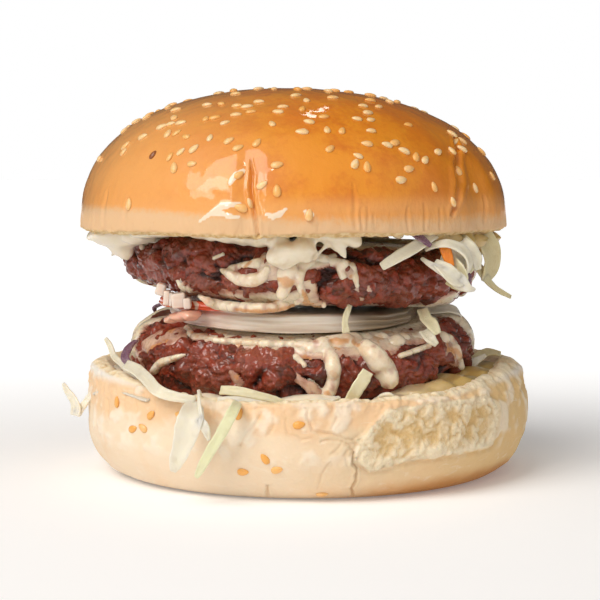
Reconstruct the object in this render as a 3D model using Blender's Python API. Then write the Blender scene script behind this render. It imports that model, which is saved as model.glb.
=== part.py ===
"""Double cheeseburger with shredded cabbage: a sesame bun, two beef patties under melted cheese,
onion, tomato, sauce and slaw, modelled layer by layer at real size.

Metres, +Z up. The origin is the middle of the flat spot that the bun heel stands on.
A bearing is an angle round the stack: 0 faces -Y, the front, and 90 degrees faces +X.
"""

import math
import random
from collections import namedtuple

import bmesh
import bpy
from mathutils import Matrix, Vector, noise

MM = 0.001
GAP = 0.3 * MM

# Bun crown
CROWN_RADIUS = 54.8 * MM
CROWN_BASE = 61.6 * MM
CROWN_HEIGHT = 36.2 * MM
CROWN_CENTRE_X = -1.5 * MM
CROWN_LEAN = 1.4 * MM
CROWN_LIP = 1.6 * MM
CROWN_HOLLOW = 4.0 * MM
CROWN_FULLNESS = 2.25
CROWN_UNDER = 0.24
CROWN_LIP_TOP = 0.30
# Creases in the crown's side: bearing and half width in degrees, depth
CROWN_CREASES = ((-11, 4.5, 0.9 * MM), (57, 9.0, 1.2 * MM), (150, 7.5, 0.8 * MM), (-120, 9.0, 0.9 * MM))

# Sesame seeds
SEED_LENGTH = 3.3 * MM
SEED_WIDTH = 2.0 * MM
SEED_THICKNESS = 1.3 * MM
SEED_SINK = 0.15 * MM
SEED_COUNT = 62
SEED_SPACING = 3.9 * MM
SEED_LOWEST = 11 * MM
# Seeds that fell on the heel's front: bearing in degrees, height, spin in degrees
HEEL_SEEDS = (
    (-50, 17.0 * MM, 20), (-44, 19.5 * MM, 60), (-36, 21.5 * MM, 10), (-16, 10.0 * MM, 35), (-8.5, 12.5 * MM, 5),
)

# Bun heel
HEEL_RADIUS = 57.2 * MM
HEEL_CENTRE_X = 2.0 * MM
HEEL_FOOT_RADIUS = 46 * MM
HEEL_BELLY = 13 * MM
HEEL_RIGHT_BELLY = 17.5 * MM
HEEL_RIM = 24 * MM
HEEL_SIDE_RISE = 4.4 * MM
HEEL_BACK_RISE = 2.6 * MM
HEEL_DISH = 4.5 * MM
HEEL_FRONT_EDGE = 1.6 * MM
HEEL_LEFT_EDGE = 2.4 * MM
HEEL_RIGHT_EDGE = 5.5 * MM
HEEL_TAPER = 1.0 * MM
HEEL_LUMP = 22 * MM
# The torn patch that bares the crumb: middle and half width in degrees, height, depth
TEAR_BEARING = 36
TEAR_HALF_WIDTH = 27
TEAR_BOTTOM = 9 * MM
TEAR_DEPTH = 2.6 * MM
# Cracks in the heel's side: bearing and half width in degrees, depth
HEEL_CRACKS = ((9.5, 3.9, 1.6 * MM), (-160, 6.0, 1.0 * MM))

# Beef patties: the lower one has the broader foot, the upper one the broader top
PATTY_RADIUS = 44 * MM
PATTY_NARROW = 33 * MM
PATTY_BROAD = 38 * MM
PATTY_SIDE = (0.30, 0.70)
PATTY_LUMP = 10 * MM
PATTY_RELIEF = 1.4 * MM
Patty = namedtuple("Patty", "centre half turn foot top shoulder seed")
LOWER_PATTY = Patty(
    centre=Vector((1.0, 0.0, 30.2)) * MM, half=7.6 * MM, turn=Matrix.Rotation(math.radians(2.4), 4, "X"),
    foot=PATTY_BROAD, top=PATTY_NARROW, shoulder=1.8 * MM, seed=17,
)
UPPER_PATTY = Patty(
    centre=Vector((0.0, 0.0, 52.0)) * MM, half=6.4 * MM, turn=Matrix.Rotation(math.radians(3.2), 4, "Y"),
    foot=PATTY_NARROW, top=PATTY_BROAD, shoulder=0.0, seed=31,
)

# Melted cheese: a sheet with a wavy edge, and drips that run down the patty's side
CHEESE_THICKNESS = 1.1 * MM
CHEESE_LIFT = 0.45 * MM
DRIP_SWELL = 1.2 * MM
CHEESE_ROOM = CHEESE_LIFT + 1.3 * CHEESE_THICKNESS + 1.5 * GAP
# Drips: start and end, each a bearing in degrees and a travel, and the width in millimetres
UPPER_DRIPS = (
    ((-14, 0.82), (-23, 0.47), 9.0), ((2, 0.84), (-3, 0.33), 8.0), ((11, 0.82), (8, 0.52), 7.0),
    ((20, 0.82), (19, 0.50), 4.0), ((96, 0.82), (101, 0.45), 7.0), ((152, 0.82), (157, 0.40), 9.0),
    ((-110, 0.82), (-106, 0.44), 8.0),
)
LOWER_DRIPS = (
    ((-28, 0.76), (-52, 0.47), 4.5), ((4, 0.78), (7, 0.35), 6.5), ((20, 0.78), (28, 0.36), 10.0),
    ((52, 0.76), (62, 0.44), 10.0), ((-74, 0.76), (-72, 0.42), 5.0), ((118, 0.76), (124, 0.40), 8.0),
    ((-168, 0.76), (-164, 0.36), 9.0),
)
MIDDLE_DRIPS = (
    ((-10, 0.18), (-15, 0.44), 14.0), ((-38, 0.18), (-42, 0.42), 8.0), ((160, 0.18), (164, 0.44), 10.0),
)

# Onion and tomato between the patties
ONION_RADIUS = 31 * MM
ONION_CENTRE = (-1.0 * MM, -7.0 * MM)
ONION_TOP = 42.5 * MM
ONION_TOP_SLOPE = -0.022
TOMATO_RADIUS = 16 * MM
TOMATO_CENTRE = (-19 * MM, -16 * MM)
# Small pieces at the left: centre and half sizes in millimetres
ONION_END = ((-30.5, -27, 46.2), (5.8, 5.0, 3.0))
TOMATO_WEDGE = ((-27.5, -26, 40.8), (5.0, 5.5, 2.6))

# Sauce: centre and half sizes of its lumps in millimetres
TOP_SAUCE = (
    ((-44, -13, 59.0), (8, 8, 4.4)), ((-34, -20, 61.4), (9, 9, 2.2)), ((-9, -34, 61.4), (14, 7, 1.8)),
    ((11, -40, 59.8), (8, 5, 2.8)), ((16.5, -42, 58.6), (3, 3, 2.6)), ((42, -20, 60.0), (9, 9, 2.6)),
    ((-30, 34, 61.0), (10, 9, 2.6)), ((8, 42, 60.4), (9, 7, 3.0)), ((38, 24, 60.4), (8, 9, 2.8)),
)
BED_SAUCE = (
    ((33, -32, 23.0), (14, 11, 4.8)), ((42, -22, 23.6), (9, 10, 4.2)), ((24, -40, 22.6), (8, 6, 3.2)),
)
SAUCE_CEILING = 63.2 * MM
TOP_SAUCE_LAYER = (36 * MM, (-3 * MM, 0))

# Slaw: a flat core, given by its radius and middle, with shreds that come out of it
SHRED_THICKNESS = 0.9 * MM
BED_CORE = (38.5 * MM, (2 * MM, 0))
BED_ROOT_RADIUS = 35
BED_ROOT_HEIGHT = 21.0
TOP_CORE = (23 * MM, (22 * MM, -9 * MM))
TOP_SLAW_ROOF = 61.0 * MM
TOP_ROOT = (24, -12, 59.4)
TOP_ROOT_SHARE = 0.4
# Shreds that show: points in millimetres, width in millimetres, and where the broad side faces
TOP_SHREDS = (
    (((33, -36, 61.0), (30, -42, 60.8), (24.5, -44.5, 58.0), (18.8, -46, 55.4)), 2.6, (0.2, -1, 0.4)),
    (((36, -39, 59), (43, -38, 59.4), (48, -34, 57), (46, -36, 53), (40, -40, 51)), 3.2, (0, -1, 0.5)),
    (((31, -37, 60), (35, -41, 56), (40, -41, 53.4), (43, -40, 49.2)), 3.4, (0, -1, 0.2)),
    (((40, -22, 60.6), (46, -22, 60), (48.5, -22, 55), (47, -22, 50.5), (51, -22, 46)), 4.2, (0.4, -1, 0)),
    (((28, -34, 61), (31, -41, 61), (33.5, -43, 59)), 1.6, (0.5, -1, 0)),
    (((38, -28, 60.6), (44, -30, 60.6), (47, -30, 57), (47, -28, 53)), 3.6, (0.5, -1, 0)),
)
BED_SHREDS = (
    (((-44, 4, 26), (-53, 4, 30), (-57.5, -2, 25), (-57, -11, 17), (-58, -15, 15.6), (-60, -15, 23)), 2.8, (-1, -0.6, 0)),
    (((-41, -24, 25), (-44, -22, 28), (-46.5, -19, 32), (-48, -16, 35)), 2.1, (-0.4, -1, 0.3)),
    (((-42, -20, 30.5), (-38.5, -27, 27.6), (-35, -34, 25.6), (-29, -41, 24.8), (-22, -46, 24.6)), 2.5, (-0.3, -1, 0.5)),
    (((-22, -46, 24.4), (-22, -52, 26.4), (-22, -56.5, 24), (-21, -58.5, 20), (-20, -59, 15.5)), 1.2, (0, -1, 0.1)),
    (((-22, -44, 25.6), (-18, -46.5, 26.4), (-11, -48, 25.4), (-4, -48.5, 24.8)), 2.4, (0, -1, 0.9)),
    (((-24, -45, 24), (-28, -52.5, 25.2), (-30.5, -54, 20.5), (-29, -56, 15), (-26.5, -56.5, 8.5)), 6.5, (-0.45, -1, 0)),
    (((-13, -46, 24), (-14.5, -55, 25.6), (-16.5, -59, 20), (-19.5, -58.5, 14), (-23, -57, 7.5)), 2.6, (-0.3, -1, 0.1)),
    (((14, -42, 23.4), (12.8, -45, 26), (15.2, -45.6, 30.0)), 3.6, (0.3, -1, 0)),
    (((19, -44, 23.6), (21, -47, 25.4), (24, -46, 25.2), (22, -43, 24.4)), 1.3, (0, -0.4, 1)),
    (((44, 2, 25), (47, -4, 28.0), (50, -8, 29), (53, -9, 29)), 2.8, (0, -0.6, 1)),
    (((-42, -14, 24), (-46, -13, 28), (-47.5, -9, 30.4)), 5.2, (-0.6, -1, 0.4)),
)


def clear_scene():
    for old in list(bpy.data.objects):
        bpy.data.objects.remove(old, do_unlink=True)


def make_material(name, colour, roughness):
    material = bpy.data.materials.new(name)
    material.use_nodes = True
    shader = material.node_tree.nodes["Principled BSDF"]
    shader.inputs["Base Color"].default_value = (*colour, 1.0)
    shader.inputs["Roughness"].default_value = roughness
    shader.inputs["Metallic"].default_value = 0.0
    return material


def add_object(name, bm, collection, material=None):
    """A new object from a bmesh, shaded smooth."""
    bmesh.ops.recalc_face_normals(bm, faces=bm.faces)
    mesh = bpy.data.meshes.new(name)
    bm.to_mesh(mesh)
    bm.free()
    if material:
        mesh.materials.append(material)
    mesh.shade_smooth()
    made = bpy.data.objects.new(name, mesh)
    collection.objects.link(made)
    return made


def on_bearing(radius, bearing, height=0.0):
    return Vector((radius * math.sin(bearing), -radius * math.cos(bearing), height))


def bump(value, half_width):
    """1 at zero, falling smoothly to 0 half_width away."""
    share = abs(value) / half_width
    return 0.0 if share >= 1 else (1 - share * share) ** 2


def turn_between(bearing, other):
    """The angle between a bearing and one in degrees, in degrees, from 0 to 180."""
    difference = math.degrees(bearing) - other
    return abs((difference + 180) % 360 - 180)


def ramp(value, start, end):
    share = max(0.0, min(1.0, (value - start) / (end - start)))
    return share * share * (3 - 2 * share)


def lumps(point, size, seed):
    """Smooth noise from about -1 to 1, with lumps of the given size."""
    return noise.noise(point / size + Vector((seed, seed * 0.37, -seed)))


def round_body(segments, rings, place):
    """A ball whose points are moved to place(bearing, travel). Travel runs from 0, the bottom
    middle, over the rim to 1, the top middle."""
    bm = bmesh.new()
    bmesh.ops.create_uvsphere(bm, u_segments=segments, v_segments=rings, radius=1.0)
    for vert in bm.verts:
        travel = 0.5 + math.asin(max(-1.0, min(1.0, vert.co.z))) / math.pi
        bearing = math.atan2(vert.co.x, -vert.co.y)
        vert.co = place(bearing, travel)
    return bm


# Bun crown

def crown_point(bearing, travel):
    """A dome with a rounded lip and a hollow underside."""
    if travel < CROWN_UNDER:
        share = travel / CROWN_UNDER
        radius = (CROWN_RADIUS - CROWN_LIP) * share
        height = CROWN_BASE + CROWN_HOLLOW * (1 - share ** 2)
    elif travel < CROWN_LIP_TOP:
        angle = (travel - CROWN_UNDER) / (CROWN_LIP_TOP - CROWN_UNDER) * math.pi / 2
        radius = CROWN_RADIUS - CROWN_LIP + CROWN_LIP * math.sin(angle)
        height = CROWN_BASE + CROWN_LIP * (1 - math.cos(angle))
    else:
        angle = (travel - CROWN_LIP_TOP) / (1 - CROWN_LIP_TOP) * math.pi / 2
        power = 2 / CROWN_FULLNESS
        radius = CROWN_RADIUS * max(0.0, math.cos(angle)) ** power
        height = CROWN_BASE + CROWN_LIP + (CROWN_HEIGHT - CROWN_LIP) * math.sin(angle) ** power
    side = ramp(radius, 0.35 * CROWN_RADIUS, CROWN_RADIUS)
    lean = CROWN_LEAN * ((height - CROWN_BASE) / CROWN_HEIGHT) ** 2
    if travel > CROWN_UNDER:
        spot = on_bearing(radius, bearing, height)
        radius += side * 0.8 * MM * lumps(spot, 24 * MM, 3)
        height += 0.7 * MM * lumps(spot, 30 * MM, 8)
        low = ramp(height, CROWN_BASE + 26 * MM, CROWN_BASE + 12 * MM)
        for middle, half_width, depth in CROWN_CREASES:
            radius -= depth * side * low * bump(turn_between(bearing, middle), half_width)
    point = on_bearing(radius, bearing, height)
    point.x += CROWN_CENTRE_X - lean
    return point


def surface_matrix(place, bearing, travel, spin):
    """The frame of a seed that lies on a surface, spun about the surface's normal."""
    step = 0.01
    along = place(bearing, travel + step) - place(bearing, travel - step)
    around = place(bearing + step, travel) - place(bearing - step, travel)
    normal = around.cross(along).normalized()
    turn = normal.to_track_quat("Z", "X").to_matrix().to_4x4()
    return Matrix.Translation(place(bearing, travel) + normal * SEED_SINK) @ turn @ Matrix.Rotation(spin, 4, "Z")


def seed_spots(count):
    """Bearing, travel and spin of each sesame seed, thick on top and sparse down the sides."""
    draw = random.Random(41)
    spots, places = [], []
    while len(spots) < count:
        bearing = draw.uniform(-math.pi, math.pi)
        travel = draw.uniform(0.36, 0.985)
        spin = draw.uniform(0, math.pi)
        chance = draw.random()
        point = crown_point(bearing, travel)
        height = point.z - CROWN_BASE
        radius = math.hypot(point.x - CROWN_CENTRE_X, point.y)
        density = ramp(height, SEED_LOWEST, 0.72 * CROWN_HEIGHT)
        if chance > (radius / CROWN_RADIUS) * (0.10 + 0.90 * density) or height < 0.6 * SEED_LOWEST:
            continue
        if any((point - other).length < SEED_SPACING for other in places):
            continue
        places.append(point)
        spots.append((bearing, travel, spin))
    return spots


def sesame_seed(matrix):
    """A flat drop, pointed at one end."""
    bm = bmesh.new()
    bmesh.ops.create_uvsphere(bm, u_segments=5, v_segments=3, radius=0.5)
    for vert in bm.verts:
        taper = 1 - 0.45 * vert.co.x
        vert.co = Vector((vert.co.x * SEED_LENGTH, vert.co.y * SEED_WIDTH * taper, vert.co.z * SEED_THICKNESS))
    bmesh.ops.transform(bm, matrix=matrix, verts=bm.verts)
    return bm


# Bun heel

def heel_point(bearing, travel):
    """A flat foot, a round belly, a rim that is higher at the sides and the back, and a dished cut
    face inside it."""
    foot, belly_at, rim, edge = 0.22, 0.44, 0.56, 0.62
    sideways = math.sin(bearing)
    right = ramp(sideways, 0, 1)
    rise = HEEL_SIDE_RISE * sideways ** 2 + HEEL_BACK_RISE * max(0.0, -math.cos(bearing)) ** 2
    top = HEEL_RIM + rise + 0.5 * MM * math.sin(5 * bearing + 1.0)
    side_edge = HEEL_RIGHT_EDGE if sideways > 0 else HEEL_LEFT_EDGE
    bevel = HEEL_FRONT_EDGE + (side_edge - HEEL_FRONT_EDGE) * sideways ** 2
    belly = HEEL_BELLY + (HEEL_RIGHT_BELLY - HEEL_BELLY) * right
    waist = HEEL_RADIUS - HEEL_TAPER
    if travel < foot:
        radius = HEEL_FOOT_RADIUS * travel / foot
        height = 0.0
    elif travel < belly_at:
        angle = (travel - foot) / (belly_at - foot) * math.pi / 2
        radius = HEEL_FOOT_RADIUS + (HEEL_RADIUS - HEEL_FOOT_RADIUS) * math.sin(angle)
        height = belly * (1 - math.cos(angle))
    elif travel < rim:
        share = (travel - belly_at) / (rim - belly_at)
        radius = HEEL_RADIUS - HEEL_TAPER * share ** 2
        height = belly + (top - bevel - belly) * share
    elif travel < edge:
        angle = (travel - rim) / (edge - rim) * math.pi / 2
        radius = waist - bevel * (1 - math.cos(angle))
        height = top - bevel * (1 - math.sin(angle))
    else:
        share = (1 - travel) / (1 - edge)
        radius = (waist - bevel) * share
        height = HEEL_RIM - HEEL_DISH + (top - HEEL_RIM + HEEL_DISH) * ramp(share, 0.80, 1.0)
    side = ramp(travel, foot, belly_at) * ramp(travel, 0.64, edge)
    spot = on_bearing(radius, bearing, height)
    radius += side * 0.9 * MM * lumps(spot, HEEL_LUMP, 5)
    tear = ramp(TEAR_HALF_WIDTH - turn_between(bearing, TEAR_BEARING), 0, 6)
    tear *= ramp(height, TEAR_BOTTOM - 1.5 * MM, TEAR_BOTTOM + 2.5 * MM)
    radius -= side * tear * (TEAR_DEPTH + 0.9 * MM * lumps(spot, 6 * MM, 11))
    for middle, half_width, depth in HEEL_CRACKS:
        radius -= side * depth * bump(turn_between(bearing, middle), half_width)
    point = on_bearing(radius, bearing, height)
    point.x += HEEL_CENTRE_X
    return point


def heel_travel(bearing, height):
    """The travel at which the heel's side reaches a height."""
    low, high = 0.24, 0.58
    for _ in range(24):
        middle = (low + high) / 2
        if heel_point(bearing, middle).z < height:
            low = middle
        else:
            high = middle
    return low


# Beef patties

def patty_point(bearing, travel, patty):
    """A thick disc with a rounded, lumpy side, about its own middle."""
    low, high = PATTY_SIDE
    if travel < low:
        radius, height, side = patty.foot * travel / low, -patty.half, 0.0
    elif travel > high:
        radius, height, side = patty.top * (1 - travel) / (1 - high), patty.half, 0.0
    else:
        share = (travel - low) / (high - low)
        angle = share * math.pi - math.pi / 2
        flat = patty.foot + (patty.top - patty.foot) * share
        radius = flat + (PATTY_RADIUS - flat) * math.cos(angle)
        height = patty.half * math.sin(angle)
        side = math.sqrt(max(0.0, math.cos(angle)))
    spot = on_bearing(radius, bearing, height)
    relief = lumps(spot, PATTY_LUMP, patty.seed) + 0.5 * lumps(spot, 0.5 * PATTY_LUMP, patty.seed + 4)
    edge = 1.4 * MM * lumps(on_bearing(radius, bearing), 26 * MM, patty.seed + 2)
    radius += side * (PATTY_RELIEF * relief + edge)
    height += side * 0.7 * MM * lumps(spot, PATTY_LUMP, patty.seed + 9)
    height += patty.shoulder * math.sin(bearing) ** 2 * ramp(travel, 0.5, high) * (radius / PATTY_RADIUS) ** 2
    return on_bearing(radius, bearing, height)


def moved(bm, patty):
    """Takes a shape from the patty's own middle to its place in the stack."""
    bmesh.ops.transform(bm, matrix=Matrix.Translation(patty.centre) @ patty.turn, verts=bm.verts)
    return bm


def level(patty, offset, spot):
    """Height, over or under a spot, of the plane that lies an offset above the patty's middle."""
    normal = patty.turn.to_3x3() @ Vector((0, 0, 1))
    aside = normal.x * (spot.x - patty.centre.x) + normal.y * (spot.y - patty.centre.y)
    return patty.centre.z + (offset - aside) / normal.z


# Melted cheese

def outward(bearing, travel):
    """The direction that the patty's surface faces there, roughly."""
    low, high = PATTY_SIDE
    angle = (max(low, min(high, travel)) - low) / (high - low) * math.pi - math.pi / 2
    return on_bearing(math.cos(angle), bearing, math.sin(angle))


def cheese_point(bearing, travel, patty, reach, below):
    """A sheet that follows the patty's top, or its underside if below, just clear of the meat."""
    upper_face = travel > 0.5
    share = 2 * (1 - travel) if upper_face else 2 * travel
    reach += 0.018 * math.sin(5 * bearing + patty.seed) + 0.015 * math.sin(11 * bearing + 1)
    here = reach * share if below else 1 - reach * share
    at = patty_point(bearing, here, patty)
    out = outward(bearing, here)
    if upper_face == below:
        return at + out * CHEESE_LIFT
    rounding = math.sqrt(max(0.0, 1 - share ** 6))
    swell = 1 + 0.3 * lumps(at, 9 * MM, patty.seed + 20)
    return at + out * (CHEESE_LIFT + CHEESE_THICKNESS * swell * rounding)


def drip(start, end, width, patty):
    """A run of cheese down the patty's side that thickens to a bulb at its end. The start and end
    are each a bearing in degrees and a travel, and the width is in millimetres."""
    bulb = 0.5
    bm = bmesh.new()
    bmesh.ops.create_uvsphere(bm, u_segments=8, v_segments=6, radius=1.0)
    for vert in bm.verts:
        share = (1 - vert.co.z) / 2
        swell = 1 + bulb * ramp(share, 0.35, 0.8)
        middle = math.radians(start[0] + (end[0] - start[0]) * share)
        bearing = middle + vert.co.x * swell * width * MM / 2 / PATTY_RADIUS
        travel = start[1] + (end[1] - start[1]) * share
        depth = CHEESE_LIFT + (1 - vert.co.y) / 2 * (CHEESE_THICKNESS + DRIP_SWELL * ramp(share, 0, 0.8))
        vert.co = patty_point(bearing, travel, patty) + outward(bearing, travel) * depth
    return bm


def melted(name, patty, reach, below, drips, helpers, collection, material):
    """A sheet of melted cheese on a patty, fused with its drips."""
    sheet = round_body(26, 8, lambda b, t: cheese_point(b, t, patty, reach, below))
    pieces = [sheet, *(drip(*run, patty) for run in drips)]
    return joined(name, [moved(bm, patty) for bm in pieces], helpers, collection, material)


# Slices, lumps and layers

def onion_bottom(spot):
    return level(LOWER_PATTY, LOWER_PATTY.half + CHEESE_ROOM, spot)


def onion_top(spot):
    return ONION_TOP + ONION_TOP_SLOPE * spot.x


def tomato_bottom(spot):
    return onion_top(spot) + 1.5 * GAP


def tomato_top(spot):
    return level(UPPER_PATTY, -UPPER_PATTY.half - CHEESE_ROOM, spot)


def bed_bottom(spot):
    return HEEL_RIM - HEEL_DISH + 1.5 * GAP


def bed_top(spot):
    return level(LOWER_PATTY, -LOWER_PATTY.half - 1.5 * GAP, spot)


def slaw_bottom(spot):
    return level(UPPER_PATTY, UPPER_PATTY.half + CHEESE_ROOM, spot)


def slaw_top(spot):
    return TOP_SLAW_ROOF


def sauce_bottom(spot):
    return max(slaw_bottom(spot), TOP_SLAW_ROOF + 1.5 * GAP)


def sauce_top(spot):
    return SAUCE_CEILING


def slice_point(bearing, travel, radius, centre, floor, roof, wave):
    """A round slice between two heights, each a function of the spot. Its corners are rounded."""
    low, high = 0.34, 0.66
    edge = radius * (1 + wave * math.sin(3 * bearing + 0.7))
    if travel < low:
        out, rise = edge * 0.97 * travel / low, 0.0
    elif travel > high:
        out, rise = edge * 0.97 * (1 - travel) / (1 - high), 1.0
    else:
        share = (travel - low) / (high - low)
        out = edge * (0.97 + 0.03 * math.sqrt(math.sin(share * math.pi)))
        rise = 0.06 + 0.88 * share
    flat = on_bearing(out, bearing) + Vector((centre[0], centre[1], 0))
    bottom, top = floor(flat), roof(flat)
    flat.z = bottom + (top - bottom) * rise
    return flat


def layer(radius, centre, floor, roof, seed):
    """A flat bed with an uneven outline, between two heights, each a function of the spot."""

    def place(bearing, travel):
        uneven = radius * (1 + 0.10 * lumps(on_bearing(radius, bearing), 17 * MM, seed))
        return slice_point(bearing, travel, uneven, centre, floor, roof, 0.02)

    return round_body(24, 6, place)


def blob(centre, size):
    """A soft lump. The centre and half sizes are in millimetres."""
    bm = bmesh.new()
    bmesh.ops.create_uvsphere(bm, u_segments=8, v_segments=6, radius=1.0)
    for vert in bm.verts:
        wobble = 1 + 0.18 * noise.noise(vert.co * 1.7 + Vector(centre))
        spot = Vector((vert.co.x * size[0], vert.co.y * size[1], vert.co.z * size[2]))
        vert.co = (Vector(centre) + spot * wobble) * MM
    return bm


# Shreds

def smooth_path(points, count):
    """Catmull-Rom points through the given ones, in metres."""
    knots = [Vector(point) * MM for point in points]
    spans = len(knots) - 1
    knots = [2 * knots[0] - knots[1], *knots, 2 * knots[-1] - knots[-2]]
    path = []
    for i in range(count):
        place = i / (count - 1) * spans
        at = min(int(place), spans - 1)
        t = place - at
        a, b, c, d = knots[at:at + 4]
        bend = (2 * a - 5 * b + 4 * c - d) * t ** 2 + (3 * b - a - 3 * c + d) * t ** 3
        path.append(0.5 * (2 * b + (c - a) * t + bend))
    return path


def strip(points, width, face):
    """A shred: a flat strip along a path, its broad side turned to face at the middle, and carried
    along from there without a twist. It is narrower at its ends."""
    count, taper = len(points) + 3, 0.35
    path = smooth_path(points, count)
    ahead = [(path[min(i + 1, count - 1)] - path[max(i - 1, 0)]).normalized() for i in range(count)]
    middle = count // 2
    across = {middle: ahead[middle].cross(Vector(face)).normalized()}
    for i in range(middle + 1, count):
        across[i] = (across[i - 1] - ahead[i] * across[i - 1].dot(ahead[i])).normalized()
    for i in reversed(range(middle)):
        across[i] = (across[i + 1] - ahead[i] * across[i + 1].dot(ahead[i])).normalized()
    bm = bmesh.new()
    loop = None
    for i, spot in enumerate(path):
        through = across[i].cross(ahead[i])
        end = 1 - taper * abs(2 * i / (count - 1) - 1) ** 3
        a, b = across[i] * width * MM / 2 * end, through * SHRED_THICKNESS / 2
        corners = [bm.verts.new(spot + a * u + b * v) for u, v in ((-1, -1), (1, -1), (1, 1), (-1, 1))]
        if loop is None:
            bm.faces.new(corners)
        else:
            for k in range(4):
                bm.faces.new((loop[k], loop[(k + 1) % 4], corners[(k + 1) % 4], corners[k]))
        loop = corners
    bm.faces.new(reversed(loop))
    return bm


def bed_shred(points, width, face):
    """A shred of the bed, rooted in its core."""
    out = Vector((points[0][0], points[0][1], 0)).normalized() * BED_ROOT_RADIUS
    return strip(((out.x, out.y, BED_ROOT_HEIGHT), *points), width, face)


def top_shred(points, width, face):
    """A shred of the slaw on top, rooted in its core."""
    root = Vector(points[0]).lerp(Vector(TOP_ROOT), 1 - TOP_ROOT_SHARE)
    root.z = TOP_ROOT[2]
    return strip((tuple(root), *points), width, face)


def scattered_shreds(seed, count, bearings, radius, height, hang):
    """Shreds by rule, for the sides and the back: each comes out of the heap and droops."""
    draw = random.Random(seed)
    low, high = bearings
    for i in range(count):
        bearing = math.radians(low + (high - low) * (i + 0.5) / count + draw.uniform(-4, 4))
        swing = math.radians(draw.uniform(-14, 14))
        reach = draw.uniform(1.0, 1.1)
        fall = draw.uniform(0.4, 1.0) * hang
        path = (
            on_bearing(radius * 0.95, bearing + 0.3 * swing, height),
            on_bearing(radius * reach, bearing + swing, height - 0.3 * fall),
            on_bearing(radius * (reach + 0.03), bearing + 1.5 * swing, height - fall),
        )
        yield [tuple(point / MM) for point in path], draw.uniform(1.8, 3.2), tuple(on_bearing(1, bearing, 0.5))


# Joining and cutting

def applied(obj, name, collection, material):
    """The evaluated object as a plain mesh object, in place of the old one."""
    bpy.context.view_layer.update()
    graph = bpy.context.evaluated_depsgraph_get()
    mesh = bpy.data.meshes.new_from_object(obj.evaluated_get(graph))
    bpy.data.objects.remove(obj, do_unlink=True)
    mesh.materials.clear()
    mesh.materials.append(material)
    mesh.shade_smooth()
    made = bpy.data.objects.new(name, mesh)
    collection.objects.link(made)
    return made


def joined(name, pieces, helpers, collection, material):
    """One Boolean union of overlapping solids."""
    base, *others = [add_object(f"{name}_{i}", bm, helpers) for i, bm in enumerate(pieces)]
    group = bpy.data.collections.new(f"{name}_pieces")
    helpers.children.link(group)
    for other in others:
        helpers.objects.unlink(other)
        group.objects.link(other)
    union = base.modifiers.new("union", "BOOLEAN")
    union.operation = "UNION"
    union.solver = "EXACT"
    union.operand_type = "COLLECTION"
    union.collection = group
    made = applied(base, name, collection, material)
    for other in list(group.objects):
        bpy.data.objects.remove(other, do_unlink=True)
    bpy.data.collections.remove(group)
    return made


def grown_copy(obj, helpers):
    """A copy pushed out by GAP, to cut a neighbour clear with."""
    bm = bmesh.new()
    bm.from_mesh(obj.data)
    bmesh.ops.triangulate(bm, faces=bm.faces)
    bm.normal_update()
    normals = [vert.normal.copy() for vert in bm.verts]
    for vert, normal in zip(bm.verts, normals):
        vert.co += normal * GAP
    mesh = bpy.data.meshes.new("grown")
    bm.to_mesh(mesh)
    bm.free()
    made = bpy.data.objects.new("grown", mesh)
    helpers.objects.link(made)
    return made


def keep_main_body(obj):
    """Drops the loose scraps that cutting leaves, and the thinnest slivers."""
    bm = bmesh.new()
    bm.from_mesh(obj.data)
    bmesh.ops.remove_doubles(bm, verts=bm.verts, dist=0.02 * MM)
    bmesh.ops.dissolve_degenerate(bm, edges=bm.edges, dist=0.01 * MM)
    unseen = set(bm.faces)
    bodies = []
    while unseen:
        todo = [unseen.pop()]
        body = list(todo)
        while todo:
            for edge in todo.pop().edges:
                for face in edge.link_faces:
                    if face in unseen:
                        unseen.discard(face)
                        body.append(face)
                        todo.append(face)
        bodies.append(body)
    bodies.sort(key=lambda body: sum(face.calc_area() for face in body))
    for body in bodies[:-1]:
        bmesh.ops.delete(bm, geom=body, context="FACES")
    loose = [edge for edge in bm.edges if not edge.link_faces]
    bmesh.ops.delete(bm, geom=loose, context="EDGES")
    bm.to_mesh(obj.data)
    bm.free()


def cut_clear(obj, neighbours, helpers, collection):
    """Cuts a soft piece clear of the pieces it touches."""
    name, material = obj.name, obj.data.materials[0]
    for neighbour in neighbours:
        cutter = grown_copy(neighbour, helpers)
        cutter.hide_render = True
        cutter.display_type = "WIRE"
        cut = obj.modifiers.new("cut", "BOOLEAN")
        cut.operation = "DIFFERENCE"
        cut.solver = "EXACT"
        cut.object = cutter
        obj = applied(obj, name, collection, material)
        bpy.data.objects.remove(cutter, do_unlink=True)
    keep_main_body(obj)
    obj.name = name
    return obj


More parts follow.
